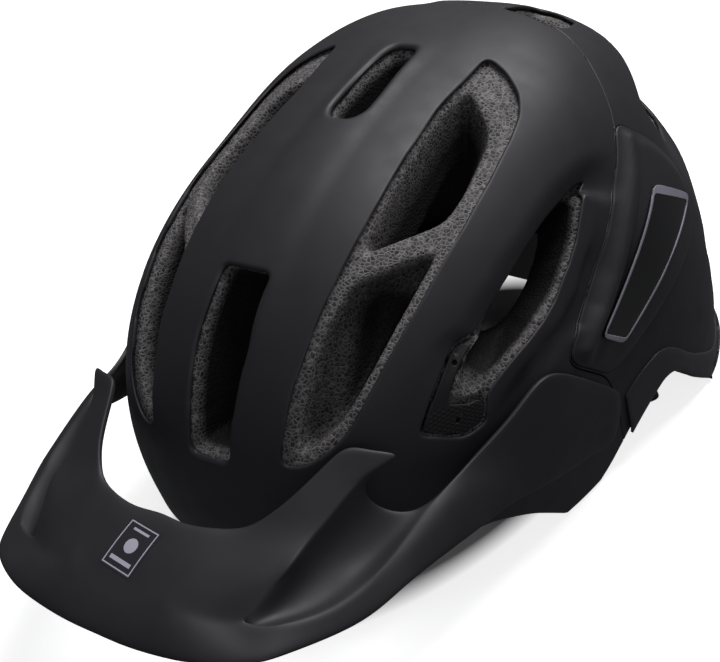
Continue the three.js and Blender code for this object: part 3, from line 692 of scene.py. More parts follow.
def turned(v):
    """A direction from the design frame, leaned back like the helmet."""
    c, s = math.cos(REST_TILT), math.sin(REST_TILT)
    return Vector((v[0], v[1] * c - v[2] * s, v[1] * s + v[2] * c))


def add_camera():
    data = bpy.data.cameras.new("camera")
    data.lens = LENS
    data.sensor_width = SENSOR
    data.clip_start, data.clip_end = 0.01, 30
    camera = linked("camera", data)
    axes = Matrix([turned(VIEW_RIGHT), turned(VIEW_UP), turned(VIEW_BACK)]).transposed()
    camera.matrix_world = Matrix.Translation(Vector(to_world(VIEW_FROM))) @ axes.to_4x4()
    bpy.context.scene.camera = camera


def add_light(name, place, size, power, target=(0, 0, 0.08)):
    data = bpy.data.lights.new(name, "AREA")
    data.shape = "RECTANGLE"
    data.size, data.size_y = size
    data.energy = power
    light = linked(name, data)
    light.location = place
    light.rotation_euler = (Vector(target) - Vector(place)).to_track_quat("-Z", "Y").to_euler()


def add_studio():
    bpy.context.scene.view_settings.view_transform = "Standard"
    add_light("overhead", (0.1, 0.6, 1.55), (1.0, 0.9), 19.5)
    add_light("front_fill", (0.9, -1.4, 0.9), (1.2, 0.8), 2)
    world = bpy.data.worlds.new("studio")
    world.use_nodes = True
    world.node_tree.nodes["Background"].inputs["Color"].default_value = (0.95, 0.97, 1.0, 1)
    world.node_tree.nodes["Background"].inputs["Strength"].default_value = 0.1
    bpy.context.scene.world = world


FLOOR_GLOW = 0.8
# The painted shadow on the floor: an ellipse under the helmet where the floor does not glow.
PAINTED_SHADOW_PLACE, PAINTED_SHADOW_SCALE = (0.0, -0.08, 0.0), (12.6, 6.6, 1.0)


def add_floor():
    """A white floor that glows a little, but not where it lies inside the helmet, which makes a painted
    shadow there.
    """
    mesh = bpy.data.meshes.new("floor")
    far = 6
    mesh.from_pydata([(-far, -far, 0), (far, -far, 0), (far, far, 0), (-far, far, 0)], [], [(0, 1, 2, 3)])
    floor = linked("floor", mesh)
    look = Look("pale_floor", grey(0.9), 0.8, 0.1)
    look.color(look.blend(look.noise(3, 2), grey(0.88), grey(0.92)))
    # Painted shadow: inside this ellipse the floor's glow is turned off.
    place = look.add("Mapping", Vector=look.place, Location=PAINTED_SHADOW_PLACE, Scale=PAINTED_SHADOW_SCALE)
    outside = look.add("VectorMath", Vector=place.outputs[0])
    outside.operation = "LENGTH"
    look.shader.inputs["Emission Color"].default_value = (1, 1, 1, 1)
    glow = look.remap(outside.outputs["Value"], 0.92, 1.04, 0.0, FLOOR_GLOW)
    look.links.new(glow, look.shader.inputs["Emission Strength"])
    floor.visible_diffuse = False
    floor.visible_glossy = False
    mesh.materials.append(look.material)


# ---------------------------------------------------------------- the shells
def build_shells():
    rim = rim_outline(SKIN_LIFT + 0.6, 1.5)
    seam = seam_outline()
    openings = shell_openings()
    grooves = [seam] + pair(BAND, aim, 3.5, 0.65)
    flat, faces = triangulated(rim, openings, grooves, 1.6)
    d = direction_of(flat)
    surface = on_shell(d)
    height = relief(d) - edge_drop(surface, openings + [rim] + grooves)
    height -= SEAM_NOTCH * smooth(0.4, 0, seam.distance(surface))
    points = surface + d * height[:, None]
    behind = behind_seam(direction_of(flat[faces].mean(1)))
    top = sheet_piece("top_shell_skin", points, faces[~behind], SHELL_WALL)
    rear = sheet_piece("rear_shell_skin", points, faces[behind], SHELL_WALL)
    finished(top, "shell", "helmet", "top_shell")
    finished(rear, "shell", "helmet", "rear_shell")


# ---------------------------------------------------------------- the bead foam liner
MAP_STEP = 0.6
MAP_REACH = 135.0
MAP_EDGE = 12
FOAM_LOW, FOAM_HIGH = np.array([-112.0, -150.0, -78.0]), np.array([112.0, 148.0, 108.0])
FOAM_CLEAR_OF_TABLE = 0.3
GRIP_SEAT_DEPTH, GRIP_SEAT_MARGIN = 4.8, 0.8
FIELD_REACH = 3.0
LOWER_CELL_REST = 8.0
LEDGE = 1.0


class FlatMap:
    """A number for every direction, on a square grid over the flat layout."""

    def __init__(self, background):
        self.count = int(2 * MAP_REACH / MAP_STEP) + 1
        ticks = np.linspace(-MAP_REACH, MAP_REACH, self.count)
        x, y = np.meshgrid(ticks, ticks, indexing="ij")
        self.flat = np.stack([x.ravel(), y.ravel()], -1)
        self.d = direction_of(self.flat)
        self.surface = on_shell(self.d)
        self.value = np.full(len(self.flat), float(background))

    def at(self, flat):
        grid = self.value.reshape(self.count, self.count)
        place = np.clip((flat + MAP_REACH) / MAP_STEP, 0, self.count - 1.001)
        low = place.astype(int)
        part = place - low
        i, j = low[:, 0], low[:, 1]
        a, b = part[:, 0], part[:, 1]
        front = grid[i, j] * (1 - a) + grid[i + 1, j] * a
        back = grid[i, j + 1] * (1 - a) + grid[i + 1, j + 1] * a
        return front * (1 - b) + back * b


def cutter_map(lines):
    """How far each direction lies inside the nearest of these openings, negative outside."""
    result = FlatMap(-MAP_EDGE)
    for line in lines:
        near = line.near(result.surface, MAP_EDGE)
        distance = line.distance(result.surface[near])
        within = inside(line.flat, result.flat[near])
        result.value[near] = np.maximum(result.value[near], np.where(within, distance, -distance))
    return result


def foam_height_map():
    """The foam's outside, from the smooth crown shape: it follows the underside of the shells."""
    result = FlatMap(0.0)
    drop = np.zeros(len(result.flat))
    for line in shell_openings():
        near = line.near(result.surface, 14)
        fall = rolled(line.distance(result.surface[near]), line.fillet)
        fall[inside(line.flat, result.flat[near])] = line.fillet
        drop[near] = np.maximum(drop[near], fall)
    result.value = relief(result.d) + 0.4 * side_flute(result.d) - drop - LINER_DEPTH
    return result


def soft_max(a, b, width):
    h = np.clip(0.5 + 0.5 * (a - b) / width, 0, 1)
    return mix(b, a, h) + width * h * (1 - h)


def foam_field(points, maps):
    r = np.linalg.norm(points, axis=1)
    d = points / r[:, None]
    flat = flat_of(d)
    shell = outer_radius(d)
    scale = r / shell
    field = soft_max(r - shell - maps["height"].at(flat), head_radius(d) - r, 2.0)
    rim = (rim_elevation(azimuth(d)) - elevation(d)) * math.pi / 180 * r
    field = soft_max(field, rim, 2.5)
    field = soft_max(field, maps["vents"].at(flat) * scale - LEDGE, 2.6)
    field = soft_max(field, maps["side_open"].at(flat) * scale, 1.8)
    leant = flat_of(leaning(d, shell - r, shell))
    field = soft_max(field, np.minimum(maps["open"].at(flat), maps["open"].at(leant)) * scale, 1.8)
    lower = np.minimum(maps["blind"].at(flat), maps["blind"].at(leant)) * scale
    blind = soft_max(-lower, cell_floor(d) - r, 3.0)
    field = soft_max(field, -blind, 1.6)
    slope = shell - mix(5, 19, smooth(27, 39, along(d)))
    side = soft_max(-maps["side"].at(flat) * scale, slope - r, 3.0)
    field = soft_max(field, -side, 1.6)
    seat = np.maximum(-maps["grip"].at(flat) * scale - GRIP_SEAT_MARGIN, shell - GRIP_SEAT_DEPTH - r)
    field = np.maximum(field, -seat)
    return np.maximum(field, FOAM_CLEAR_OF_TABLE - height_above_table(points))


def leaning(d, depth, shell):
    """Where a wall that runs straight down, not towards the centre, meets the shell; it has one step."""
    reach = np.clip((shell - depth - 0.25 * np.clip(depth - 14, 0, None)) / shell, 0.2, 1)
    return aim_over(np.degrees(np.arcsin(d[..., 0] * reach)), along(d))


def cell_floor(d):
    """The blind lower cell is deepest at its outer side, with a sloping facet towards it."""
    facet = 9 * smooth(23, 18, np.abs(across(d))) + 8 * smooth(40, 50, along(d))
    return head_radius(d) + LOWER_CELL_REST + facet


def foam_mesh(step):
    maps = {"height": foam_height_map(), "vents": cutter_map(vent_lines(REAR_VENTS)),
            "grip": cutter_map(pair(GRIP, aim_over, 1, 1))}
    cells = {"open": LONG_UPPER, "side_open": SIDE_UPPER, "blind": LONG_LOWER, "side": SIDE_LOWER}
    for key, angles in cells.items():
        maps[key] = cutter_map(pair(angles, aim_over, 3, 1))
    counts = np.ceil((FOAM_HIGH - FOAM_LOW) / step).astype(int)
    field = np.full(counts, FIELD_REACH, np.float32)
    ys, zs = (FOAM_LOW[k] + step * np.arange(counts[k]) for k in (1, 2))
    y, z = np.meshgrid(ys, zs, indexing="ij")
    for i in range(counts[0]):
        x = np.full(y.size, FOAM_LOW[0] + step * i + 1e-3)
        points = np.stack([x, y.ravel(), z.ravel()], -1)
        field[i] = np.clip(foam_field(points, maps), -FIELD_REACH, FIELD_REACH).reshape(y.shape)
    grid = openvdb.FloatGrid(FIELD_REACH)
    grid.copyFromArray(field, tolerance=0.0)
    points, quads = grid.convertToQuads(0.0)
    return FOAM_LOW + points * step, quads


def shade_rate(d):
    """How fast the painted shade on the foam deepens with depth: fastest in the narrow vents, which little
    light reaches, and at least twice the plain rate on the wearer's right, so that side looks more shaded.
    """
    u = across(d)
    rate = mix(2.4, 1, smooth(6, 10, np.abs(u))) + 1.6 * smooth(37, 44, np.abs(u))
    return np.where(u < 0, np.maximum(rate, 2), rate)


def build_foam():
    points, quads = foam_mesh(1.35)
    foam = new_object("foam_liner", points, quads[:, ::-1])
    if signed_volume(points, quads) > 0:
        foam.data.flip_normals()
    radius = np.linalg.norm(points, axis=1)
    d = points / radius[:, None]
    depth = outer_radius(d) + relief(d) - LINER_DEPTH - radius
    # Painted shade, not true depth: the depth below the shell scaled by shade_rate, plus 3 more in the side
    # vents.
    depth = depth * shade_rate(d) + 3 * smooth(37, 44, np.abs(across(d)))
    foam.data.attributes.new("depth", "FLOAT", "POINT").data.foreach_set("value", depth.astype(np.float32))
    finished(foam, "foam", "helmet", "eps_liner")


def signed_volume(points, quads):
    """Six times the enclosed volume, negative when the faces are turned inwards."""
    a, b, c, d = (points[quads[:, k]] for k in range(4))
    return float((np.cross(b, c) * a).sum() + (np.cross(c, d) * a).sum())


# ---------------------------------------------------------------- raised pieces on the shell
PANEL_SPACING = 1.1


def raised(name, border, holes, height, wall):
    """A panel that stands on the shell inside border; height works on directions and surface points."""
    flat, faces = triangulated(border, holes, [], PANEL_SPACING)
    d = direction_of(flat)
    surface = on_shell(d)
    up = height(d, surface) - edge_drop(surface, [border] + holes)
    points = surface + d * (relief(d) + up)[:, None]
    return sheet_piece(name, points, faces, wall)


BAND_PROUD, BAND_REAR_PROUD, BAND_EDGE_PROUD = 4.2, 2.6, 0.55
PLATE_STEP, TRIM_STEP = 0.9, 1.25


def band_proud(d):
    return mix(BAND_REAR_PROUD, BAND_PROUD, smooth(128, 100, np.abs(azimuth(d))))


def build_band(side, word):
    border = outline(BAND, aim, 3.5, side, 0.8)
    front = outline(BAND[:6], aim, 3.5, side, 1, closed=False)

    def height(d, surface):
        back = front.distance(surface)
        edge = border.distance(surface)
        ridge = 1.0 * np.exp(-((back - 7.5) / 2.6) ** 2) - 0.9 * np.exp(-((back - 13.0) / 3.0) ** 2)
        return mix(BAND_EDGE_PROUD, band_proud(d), smooth(0, 8, edge)) + ridge * smooth(1, 6, edge)

    band = raised(f"side_band_{word}_skin", border, [], height, 0.9)
    finished(band, "band", "helmet", f"side_band_{word}")
    plate_border = outline(PLATE, aim, 2.2, side, 0.5)
    plate = raised(f"side_plate_{word}_skin", plate_border, [], lambda d, s: band_proud(d) + PLATE_STEP, 0.9)
    finished(plate, "gloss", "helmet", f"side_plate_{word}")
    window = outline(plate_window(), aim, 1.2, side, 0.25)
    trim_border = outline(PLATE, aim, 2.2, side, 0.25)
    trim = raised(
        f"side_plate_{word}_trim", trim_border, [window], lambda d, s: band_proud(d) + TRIM_STEP, 0.5)
    finished(trim, "trim", "helmet")


def plate_window():
    """The plate's outline drawn in: hardly at the sides, more at its front end, most at its rear end."""
    rear_high, rear_low, low, front_low, front_high = np.array(PLATE, float)
    high = np.array([mix(front_high, rear_high, 0.034), mix(rear_high, front_high, 0.052)]) + (0.1, -0.45)
    low = np.array([mix(rear_low, low, 0.11), low, mix(front_low, low, 0.058)]) + (-0.1, 0.45)
    return np.vstack([high, low])


DIMPLE_DEPTH, GRIP_INSET = 0.33, 0.9


def build_grip(side, word):
    border = outline(GRIP, aim_over, 1.0, side, 0.6)
    pins = [outline(ring_around(u, v), aim_over, 0.5, side, 0.3) for u, v in GRIP_PINS]
    flat, faces = triangulated(border, pins, [], 0.22)
    d = direction_of(flat)
    surface = on_shell(d)
    u, v = np.abs(across(d)), along(d)
    dimple = DIMPLE_DEPTH * np.cos(u * 4.4) * np.cos(v * 7.0) * smooth(25.6, 24.8, v)
    drop = edge_drop(surface, [border] + pins)
    points = surface + d * (relief(d) - GRIP_INSET + dimple - drop)[:, None]
    grip = sheet_piece(f"eyewear_grip_{word}_pad", points, faces, 2.4)
    finished(grip, "rubber", "helmet", f"eyewear_grip_{word}")


def ring_around(u, v, size=0.42, count=10):
    turn = np.linspace(0, 2 * np.pi, count, endpoint=False)
    return np.stack([u + size * np.cos(turn), v + 1.3 * size * np.sin(turn)], -1)


# ---------------------------------------------------------------- bands that follow the head or shell
def grid_faces(rows, cols, closed=False):
    r, c = np.meshgrid(np.arange(rows - 1), np.arange(cols if closed else cols - 1), indexing="ij")
    r, c = r.ravel(), c.ravel()
    n = (c + 1) % cols
    return np.stack([r * cols + c, r * cols + n, (r + 1) * cols + n, (r + 1) * cols + c], -1)


def curved_strip(name, az_range, low, high, radius, thickness, bevel, columns=90, rows=10):
    """A smooth strap-like band: its outer face on radius(d), its wall inwards."""
    az = np.linspace(*az_range, columns)
    share = np.linspace(0, 1, rows)[:, None]
    el = mix(high(az)[None, :], low(az)[None, :], share)
    d = aim(np.broadcast_to(az, el.shape), el).reshape(-1, 3)
    points = d * radius(d)[:, None]
    faces = outward(points, grid_faces(rows, columns))
    obj = solidified(new_object(name, points, faces), thickness)
    soften(obj, bevel)
    return obj


def soften(obj, width, angle=40):
    bevel = obj.modifiers.new("soft edges", "BEVEL")
    bevel.width = width * MM
    bevel.segments = 3
    bevel.limit_method = "ANGLE"
    bevel.angle_limit = math.radians(angle)
    bevel.harden_normals = True
    return obj


def level(value):
    return lambda az: np.full(np.shape(az), float(value))


def bumper_height(az):
    return mix(11, 6, smooth(84, 108, 180 - np.abs(180 - az)))


BUMPER_WALL = 1.2
UPWARDS = np.array([0, math.sin(REST_TILT), math.cos(REST_TILT)])
BUMPER_PROFILE = ((1.0, 0.35), (0.97, 0.9), (0.9, 1.25), (0.62, 1.5), (0.3, 1.9), (0.1, 2.2), (0.0, 1.9))


def build_bumper():
    """A ring along the lower rear edge, flaring out towards its lower side."""
    az = np.linspace(84, 276, 220)
    low = rim_elevation(az) + 0.4
    rows = []
    for share, out in BUMPER_PROFILE:
        d = aim(az, low + bumper_height(az) * share)
        rows.append(d * (outer_radius(d) + out)[:, None])
    points = np.concatenate(rows)
    lift = np.clip(SKIN_LIFT + BUMPER_WALL - height_above_table(points), 0, None)
    points = points + UPWARDS * lift[:, None]
    faces = outward(points, grid_faces(len(BUMPER_PROFILE), len(az)))
    bumper = solidified(new_object("rear_bumper_ring", points, faces), BUMPER_WALL)
    finished(bumper, "bumper", "helmet", "rear_bumper")


# ---------------------------------------------------------------- visor
# Half of the visor as rows of points, from the centre or the crest outwards.
PANEL_ROWS = [
    [(0, -170, 45.5), (0, -183, 44.3), (0, -195, 41.5), (0, -204, 39), (0, -211, 35.5)],
    [(11, -170.6, 45.6), (9.5, -183, 44.3), (8, -195, 41.5), (9, -204, 39), (10, -211, 35.6)],
    [(23, -168.2, 45.3), (19, -181.5, 44.2), (15, -195, 41.6), (17, -203.8, 39.2), (19, -210.6, 36)],
    [(34, -163, 45), (28.5, -179, 43.8), (22.5, -195, 41.8), (25.3, -203, 39.6), (28, -209.6, 36.4)],
]
RIDGE_ROWS = [
    [(22.5, -195, 41.8), (35, -193.4, 39.6), (47.5, -189.5, 37)],
    [(28.5, -179, 43.8), (41, -179, 42.2), (52.2, -176, 40.8)],
    [(34, -163, 45), (45, -163, 44), (55, -161, 42.3)],
    [(42.6, -151, 47.7), (50.5, -149, 46.4), (58, -147, 43.8)],
    [(50, -134, 51.2), (56.5, -133, 49.3), (62, -132.5, 46.2)],
    [(54.5, -126, 52.4), (61.5, -124.2, 51.2), (68.3, -122, 48.6)],
]
LIP_ROWS = [
    [(22.5, -195, 41.8), (25.3, -203, 39.6), (28, -209.6, 36.4)],
    [(35, -193.4, 39.6), (38.5, -200.5, 38.6), (41.5, -206.8, 36.6)],
    [(47.5, -189.5, 37), (50.5, -195, 36.2), (56, -200, 35)],
]
CHANNEL_ROWS = [
    [(47.5, -189.5, 37), (51, -188, 35.4), (55, -187.3, 35.2), (58.5, -186.2, 35.4)],
    [(52.2, -176, 40.8), (54.8, -176, 34), (62, -175.5, 30.8), (68.5, -172.8, 31.2)],
    [(55, -161, 42.3), (58.2, -160.6, 33.6), (67, -160, 29), (74, -159, 29.6)],
    [(58, -147, 43.8), (61.5, -146.6, 34.4), (70, -146, 28.6), (77.3, -146, 29.6)],
    [(62, -132.5, 46.2), (64.5, -135, 36), (73, -131.5, 30.5), (80.2, -122.5, 30.2)],
]
SKIRT_ROWS = [
    [(47.5, -189.5, 37), (50.5, -195, 36.2), (56, -200, 35)],
    [(58.5, -186.2, 35.4), (61, -188.6, 34.6), (65, -191, 32.4)],
    [(68.5, -172.8, 31.2), (71.5, -174.5, 29.8), (75.5, -173.5, 26.4)],
    [(74, -159, 29.6), (77.5, -159.5, 28), (81.5, -159, 24.6)],
    [(77.3, -146, 29.6), (81.2, -146, 27.8), (85.4, -145, 23)],
    [(80.2, -122.5, 30.2), (86, -122.5, 26.4), (90.4, -122.5, 17)],
    [(82.9, -108, 29), (88.6, -108, 22), (91.4, -107.5, 9.5)],
    [(85.6, -95, 28), (91, -93.5, 15), (93.2, -91.5, 1.5)],
    [(90, -79, 29), (94.6, -77, 10), (95.6, -74.5, -8.5)],
    [(93.6, -63, 31), (98, -60, 8), (98, -57, -17)],
    [(96.8, -51, 25.3), (100.4, -45, 2), (99.8, -41, -25)],
    [(100.2, -37, 8.5), (102.2, -32.5, -9), (101.4, -29.5, -30)],
    [(102.4, -25.5, -7), (102.9, -23.8, -14), (102.4, -23.6, -22)],
]
VISOR_THICKNESS = 2.6
PLATEAU_CREASE, RIDGE_CREASE, SKIRT_CREASE = 0.35, 0.55, 0.4


def visor_cage():
    points, index, faces = [], {}, []

    def find(p):
        key = tuple(round(v, 3) + 0.0 for v in p)
        if key not in index:
            index[key] = len(points)
            points.append(key)
        return index[key]

    for side in (1, -1):
        for rows in (PANEL_ROWS, RIDGE_ROWS, LIP_ROWS, CHANNEL_ROWS, SKIRT_ROWS):
            for upper, lower in zip(rows[:-1], rows[1:]):
                for c in range(len(upper) - 1):
                    corners = (upper[c], upper[c + 1], lower[c + 1], lower[c])
                    face = [find((side * x, y, z)) for x, y, z in corners]
                    faces.append(face if side > 0 else face[::-1])
    return np.array(points), faces, find


def crease_lines():
    """Lines of the cage that stay visible as soft folds, with how sharp each is."""
    lines = [([row[2] for row in PANEL_ROWS] + [row[0] for row in LIP_ROWS[1:2]], PLATEAU_CREASE)]
    lines.append(([row[0] for row in RIDGE_ROWS], PLATEAU_CREASE))
    lines.append(([row[-1] for row in RIDGE_ROWS[1:5]], RIDGE_CREASE))
    lines.append(([row[0] for row in LIP_ROWS], PLATEAU_CREASE))
    lines.append(([row[0] for row in SKIRT_ROWS[3:]], SKIRT_CREASE))
    lines.append(([row[1] for row in CHANNEL_ROWS[1:]], 0.15))
    return lines


def mark_creases(mesh, find):
    edges = {frozenset(edge.vertices): edge.index for edge in mesh.edges}
    sharp = np.zeros(len(mesh.edges), np.float32)
    for line, amount in crease_lines():
        for side in (1, -1):
            ids = [find((side * x, y, z)) for x, y, z in line]
            for a, b in zip(ids[:-1], ids[1:]):
                if frozenset((a, b)) in edges:
                    sharp[edges[frozenset((a, b))]] = amount
    attribute = mesh.attributes.new("crease_edge", "FLOAT", "EDGE")
    attribute.data.foreach_set("value", sharp)


def evaluated_points(obj, count=None):
    depsgraph = bpy.context.evaluated_depsgraph_get()
    depsgraph.update()
    mesh = obj.evaluated_get(depsgraph).data
    points = np.empty(len(mesh.vertices) * 3)
    mesh.vertices.foreach_get("co", points)
    return points.reshape(-1, 3)[:count]


def build_visor():
    targets, faces, find = visor_cage()
    visor = new_object("visor_skin", targets, faces)
    mark_creases(visor.data, find)
    solidified(visor, VISOR_THICKNESS)
    smoothed = visor.modifiers.new("smooth", "SUBSURF")
    smoothed.levels = smoothed.render_levels = 4
    goal = to_world(targets)
    cage = goal.copy()
    for _ in range(6):
        cage += 0.8 * (goal - evaluated_points(visor, len(goal)))
        visor.data.vertices.foreach_set("co", cage.ravel())
        visor.data.update()
    finished(visor, "visor", "visor", "visor")
    return visor


LABEL_CENTRE = (-2.2, -183.4)
LABEL_SIZE = (15.1, 18.3)
LABEL_TURN = math.radians(-8)
ABOVE_VISOR, STICKER_THICKNESS = 70.0, 0.08


def label_shapes():
    """Flat outlines on the sticker, in shares of its half size: name, paint, height, outline, hole."""
    def box(x0, x1, y0, y1):
        return [(x0, y0), (x1, y0), (x1, y1), (x0, y1)]
    yield "label_base", "sticker", 0.10, box(-1, 1, -1, 1), None
    yield "label_frame", "white", 0.16, box(-0.9, 0.9, -0.92, 0.92), box(-0.84, 0.84, -0.87, 0.87)
    yield "label_top_bar", "white", 0.16, box(-0.5, 0.5, 0.62, 0.72), None
    turn = np.linspace(0, 2 * np.pi, 28, endpoint=False)
    yield "label_disc", "white", 0.16, [(0.36 * math.cos(t), 0.05 + 0.3 * math.sin(t)) for t in turn], None
    yield "label_low_bar", "white", 0.16, box(-0.66, 0.66, -0.68, -0.52), None


def flat_shape(outline_points, hole, step=0.8):
    """Triangles filling a flat outline, with inner points so that it can follow a curved surface."""
    scale = np.array(LABEL_SIZE) / 2
    loops = [evenly(np.array(ring, float) * scale, step) for ring in (outline_points, hole) if ring]
    points, edges = [], []
    for loop in loops:
        start = len(points)
        points += loop.tolist()
        edges += [(start + k, start + (k + 1) % len(loop)) for k in range(len(loop))]
    inner = lattice(loops[0].min(0), loops[0].max(0), step * 1.2)
    points += inner[inside(loops[0], inner)].tolist()
    result = delaunay_2d_cdt([Vector(p) for p in points], edges, [], 0, 1e-5)
    flat = np.array([tuple(p) for p in result[0]])
    faces = np.array(result[2])
    middle = flat[faces].mean(1)
    keep = inside(loops[0], middle)
    if hole:
        keep &= ~inside(loops[1], middle)
    return flat, faces[keep]


def build_label(visor):
    depsgraph = bpy.context.evaluated_depsgraph_get()
    tree = BVHTree.FromObject(visor, depsgraph)
    for name, look, lift, border, hole in label_shapes():
        flat, faces = flat_shape(border, hole)
        c, s = math.cos(LABEL_TURN), math.sin(LABEL_TURN)
        placed = flat @ np.array([(c, s), (-s, c)]) + LABEL_CENTRE
        start = to_world(np.column_stack([placed, np.full(len(flat), ABOVE_VISOR)]))
        down = turned((0, 0, -1))
        points = []
        for place in start:
            found, normal = tree.ray_cast(Vector(place), down)[:2]
            points.append(found + normal * lift * MM)
        mesh = bpy.data.meshes.new(name)
        mesh.from_pydata([tuple(p) for p in points], [], faces.tolist())
        obj = solidified(linked(name, mesh), STICKER_THICKNESS)
        replaced = ("size_label",) if name == "label_base" else ()
        finished(obj, look, "visor", *replaced)


# ---------------------------------------------------------------- copies of the part's plain pieces
COPY_ANGLE = 30


def rounded_copy(node, look, body, width):
    """The part's own shape for this node with its corners worked over."""
    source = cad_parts[node].data
    working = bmesh.new()
    working.from_mesh(source)
    bmesh.ops.remove_doubles(working, verts=working.verts, dist=2e-6)
    bmesh.ops.dissolve_limit(working, angle_limit=math.radians(1.5), verts=working.verts, edges=working.edges)
    mesh = bpy.data.meshes.new(node + "_finish")
    working.to_mesh(mesh)
    working.free()
    mesh.polygons.foreach_set("use_smooth", [True] * len(mesh.polygons))
    obj = linked(node + "_finish", mesh)
    mesh.set_sharp_from_angle(angle=math.radians(COPY_ANGLE))
    soften(obj, width, COPY_ANGLE)
    return finished(obj, look, body, node)


# ---------------------------------------------------------------- inside: head-side bands and pads
def insideby(by):
    return lambda d: head_radius(d) - by


def arm_middle(az):
    return mix(-15, -29, smooth(75, 160, np.abs(az)))


def build_arm(side, word):
    def half(az):
        return 4.5 * np.sqrt(np.clip(1 - ((np.abs(az) - 111) / 47.5) ** 16, 0.02, 1))
    low, high = (lambda az: arm_middle(az) - half(az)), (lambda az: arm_middle(az) + half(az))
    span = (64 * side, 158 * side)
    arm = curved_strip(f"retention_arm_{word}_band", span, low, high, insideby(1.6), 1.4, 0.45)
    finished(arm, "nylon", None, f"retention_arm_{word}")
    start, end = (aim(side * az, -26) * 98 for az in (120, 156))
    tuple(to_world(start))
    tuple(to_world(end))
    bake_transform(arm)


def cradle_low(az):
    return mix(-40, -35, smooth(0, 38, np.abs(az - 180)))


def cradle_high(az):
    return mix(-26, -24, smooth(0, 38, np.abs(az - 180)))


def build_cradle():
    cradle = curved_strip("nape_cradle_band", (142, 218), cradle_low, cradle_high, insideby(3.7), 2.2, 0.7)
    finished(cradle, "nylon", "cradle", "nape_cradle")
    slider = curved_strip(
        "height_slider_strip", (176.5, 183.5), level(-25), level(-4), insideby(3.6), 1.6, 0.5, 12, 24)
    finished(slider, "nylon", "cradle", "height_slider")
    anchor = curved_strip(
        "height_anchor_strip", (174, 186), level(-9), level(-2), insideby(0.9), 1.7, 0.5, 12, 10)
    finished(anchor, "nylon", "helmet", "height_anchor")


PAD_VOXEL, PAD_PRESSURE, PAD_GIVE = 0.0025, 4.0, 0.0012


def puffed(node, name):
    """A stuffed pad from the part's own pad: remeshed, then blown up as cloth."""
    pad = linked(name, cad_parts[node].data.copy())
    remesh = pad.modifiers.new("even mesh", "REMESH")
    remesh.mode = "VOXEL"
    remesh.voxel_size = PAD_VOXEL
    bake(pad)
    before = evaluated_points(pad)
    cloth = pad.modifiers.new("stuffing", "CLOTH")
    cloth.settings.use_pressure = True
    cloth.settings.uniform_pressure_force = PAD_PRESSURE
    cloth.settings.tension_stiffness = 40
    cloth.settings.effector_weights.gravity = 0
    for number in range(1, 21):
        bpy.context.scene.frame_set(number)
    bake(pad)
    bpy.context.scene.frame_set(1)
    limit_movement(pad, before, PAD_GIVE)
    rounder = pad.modifiers.new("smooth", "SUBSURF")
    rounder.levels = rounder.render_levels = 1
    finished(pad, "cloth", "helmet", node)
    pad.data.polygons.foreach_set("use_smooth", [True] * len(pad.data.polygons))


def bake(obj):
    """Every modifier of obj made part of its mesh."""
    depsgraph = bpy.context.evaluated_depsgraph_get()
    depsgraph.update()
    mesh = bpy.data.meshes.new_from_object(obj.evaluated_get(depsgraph))
    obj.modifiers.clear()
    obj.data = mesh


def limit_movement(obj, before, most):
    moved = evaluated_points(obj) - before
    length = np.linalg.norm(moved, axis=1)
    share = np.minimum(1, most / np.maximum(length, 1e-9))
    obj.data.vertices.foreach_set("co", (before + moved * share[:, None]).ravel())


# ---------------------------------------------------------------- webbing and buckle
SMALLEST_GAP = 0.05


def through(stops, count):
    """A smooth path through the stops, by centripetal Catmull-Rom segments."""
    stops = np.asarray(stops, float)
    ends = np.vstack([2 * stops[0] - stops[1], stops, 2 * stops[-1] - stops[-2]])
    out = []
    for place in np.linspace(0, len(stops) - 1, count):
        k = min(int(place), len(stops) - 2)
        p = ends[k:k + 4]
        gaps = np.sqrt(np.linalg.norm(np.diff(p, axis=0), axis=1))
        knots = np.concatenate([[0], np.cumsum(np.maximum(gaps, SMALLEST_GAP))])
        t = mix(knots[1], knots[2], place - k)
        a = [mix(p[i], p[i + 1], (t - knots[i]) / (knots[i + 1] - knots[i])) for i in range(3)]
        b = [mix(a[i], a[i + 1], (t - knots[i]) / (knots[i + 2] - knots[i])) for i in range(2)]
        out.append(mix(b[0], b[1], (t - knots[1]) / (knots[2] - knots[1])))
    return np.array(out)


def ribbon(name, stops, width, side=1, thickness=1.6, count=64, columns=7):
    """Flat webbing along stops; each stop is (x, y, z, width direction)."""
    path = through([s[:3] for s in stops], count)
    across_path = through([s[3] for s in stops], count)
    forward = np.gradient(path, axis=0)
    forward /= np.linalg.norm(forward, axis=1)[:, None]
    sideways = across_path - forward * (across_path * forward).sum(1)[:, None]
    sideways /= np.linalg.norm(sideways, axis=1)[:, None]
    share = np.linspace(-0.5, 0.5, columns)
    points = path[:, None, :] + sideways[:, None, :] * (share * width)[None, :, None]
    points = points.reshape(-1, 3)
    points[:, 0] *= side
    strap = new_object(name, points, grid_faces(count, columns))
    run = np.concatenate([[0], np.cumsum(np.linalg.norm(np.diff(path, axis=0), axis=1))]) * MM
    uv = np.stack(np.meshgrid(run, share * width * MM, indexing="ij"), -1).reshape(-1, 2)[:, ::-1]
    layer = strap.data.uv_layers.new(name="UVMap")
    corner = np.empty(len(strap.data.loops), int)
    strap.data.loops.foreach_get("vertex_index", corner)
    layer.data.foreach_set("uv", uv[corner].ravel())
    solidified(strap, thickness, 0.0)
    return soften(strap, 0.45)


def on_table(y, height):
    return (height - FLOOR_DROP - y * math.sin(REST_TILT)) / math.cos(REST_TILT)


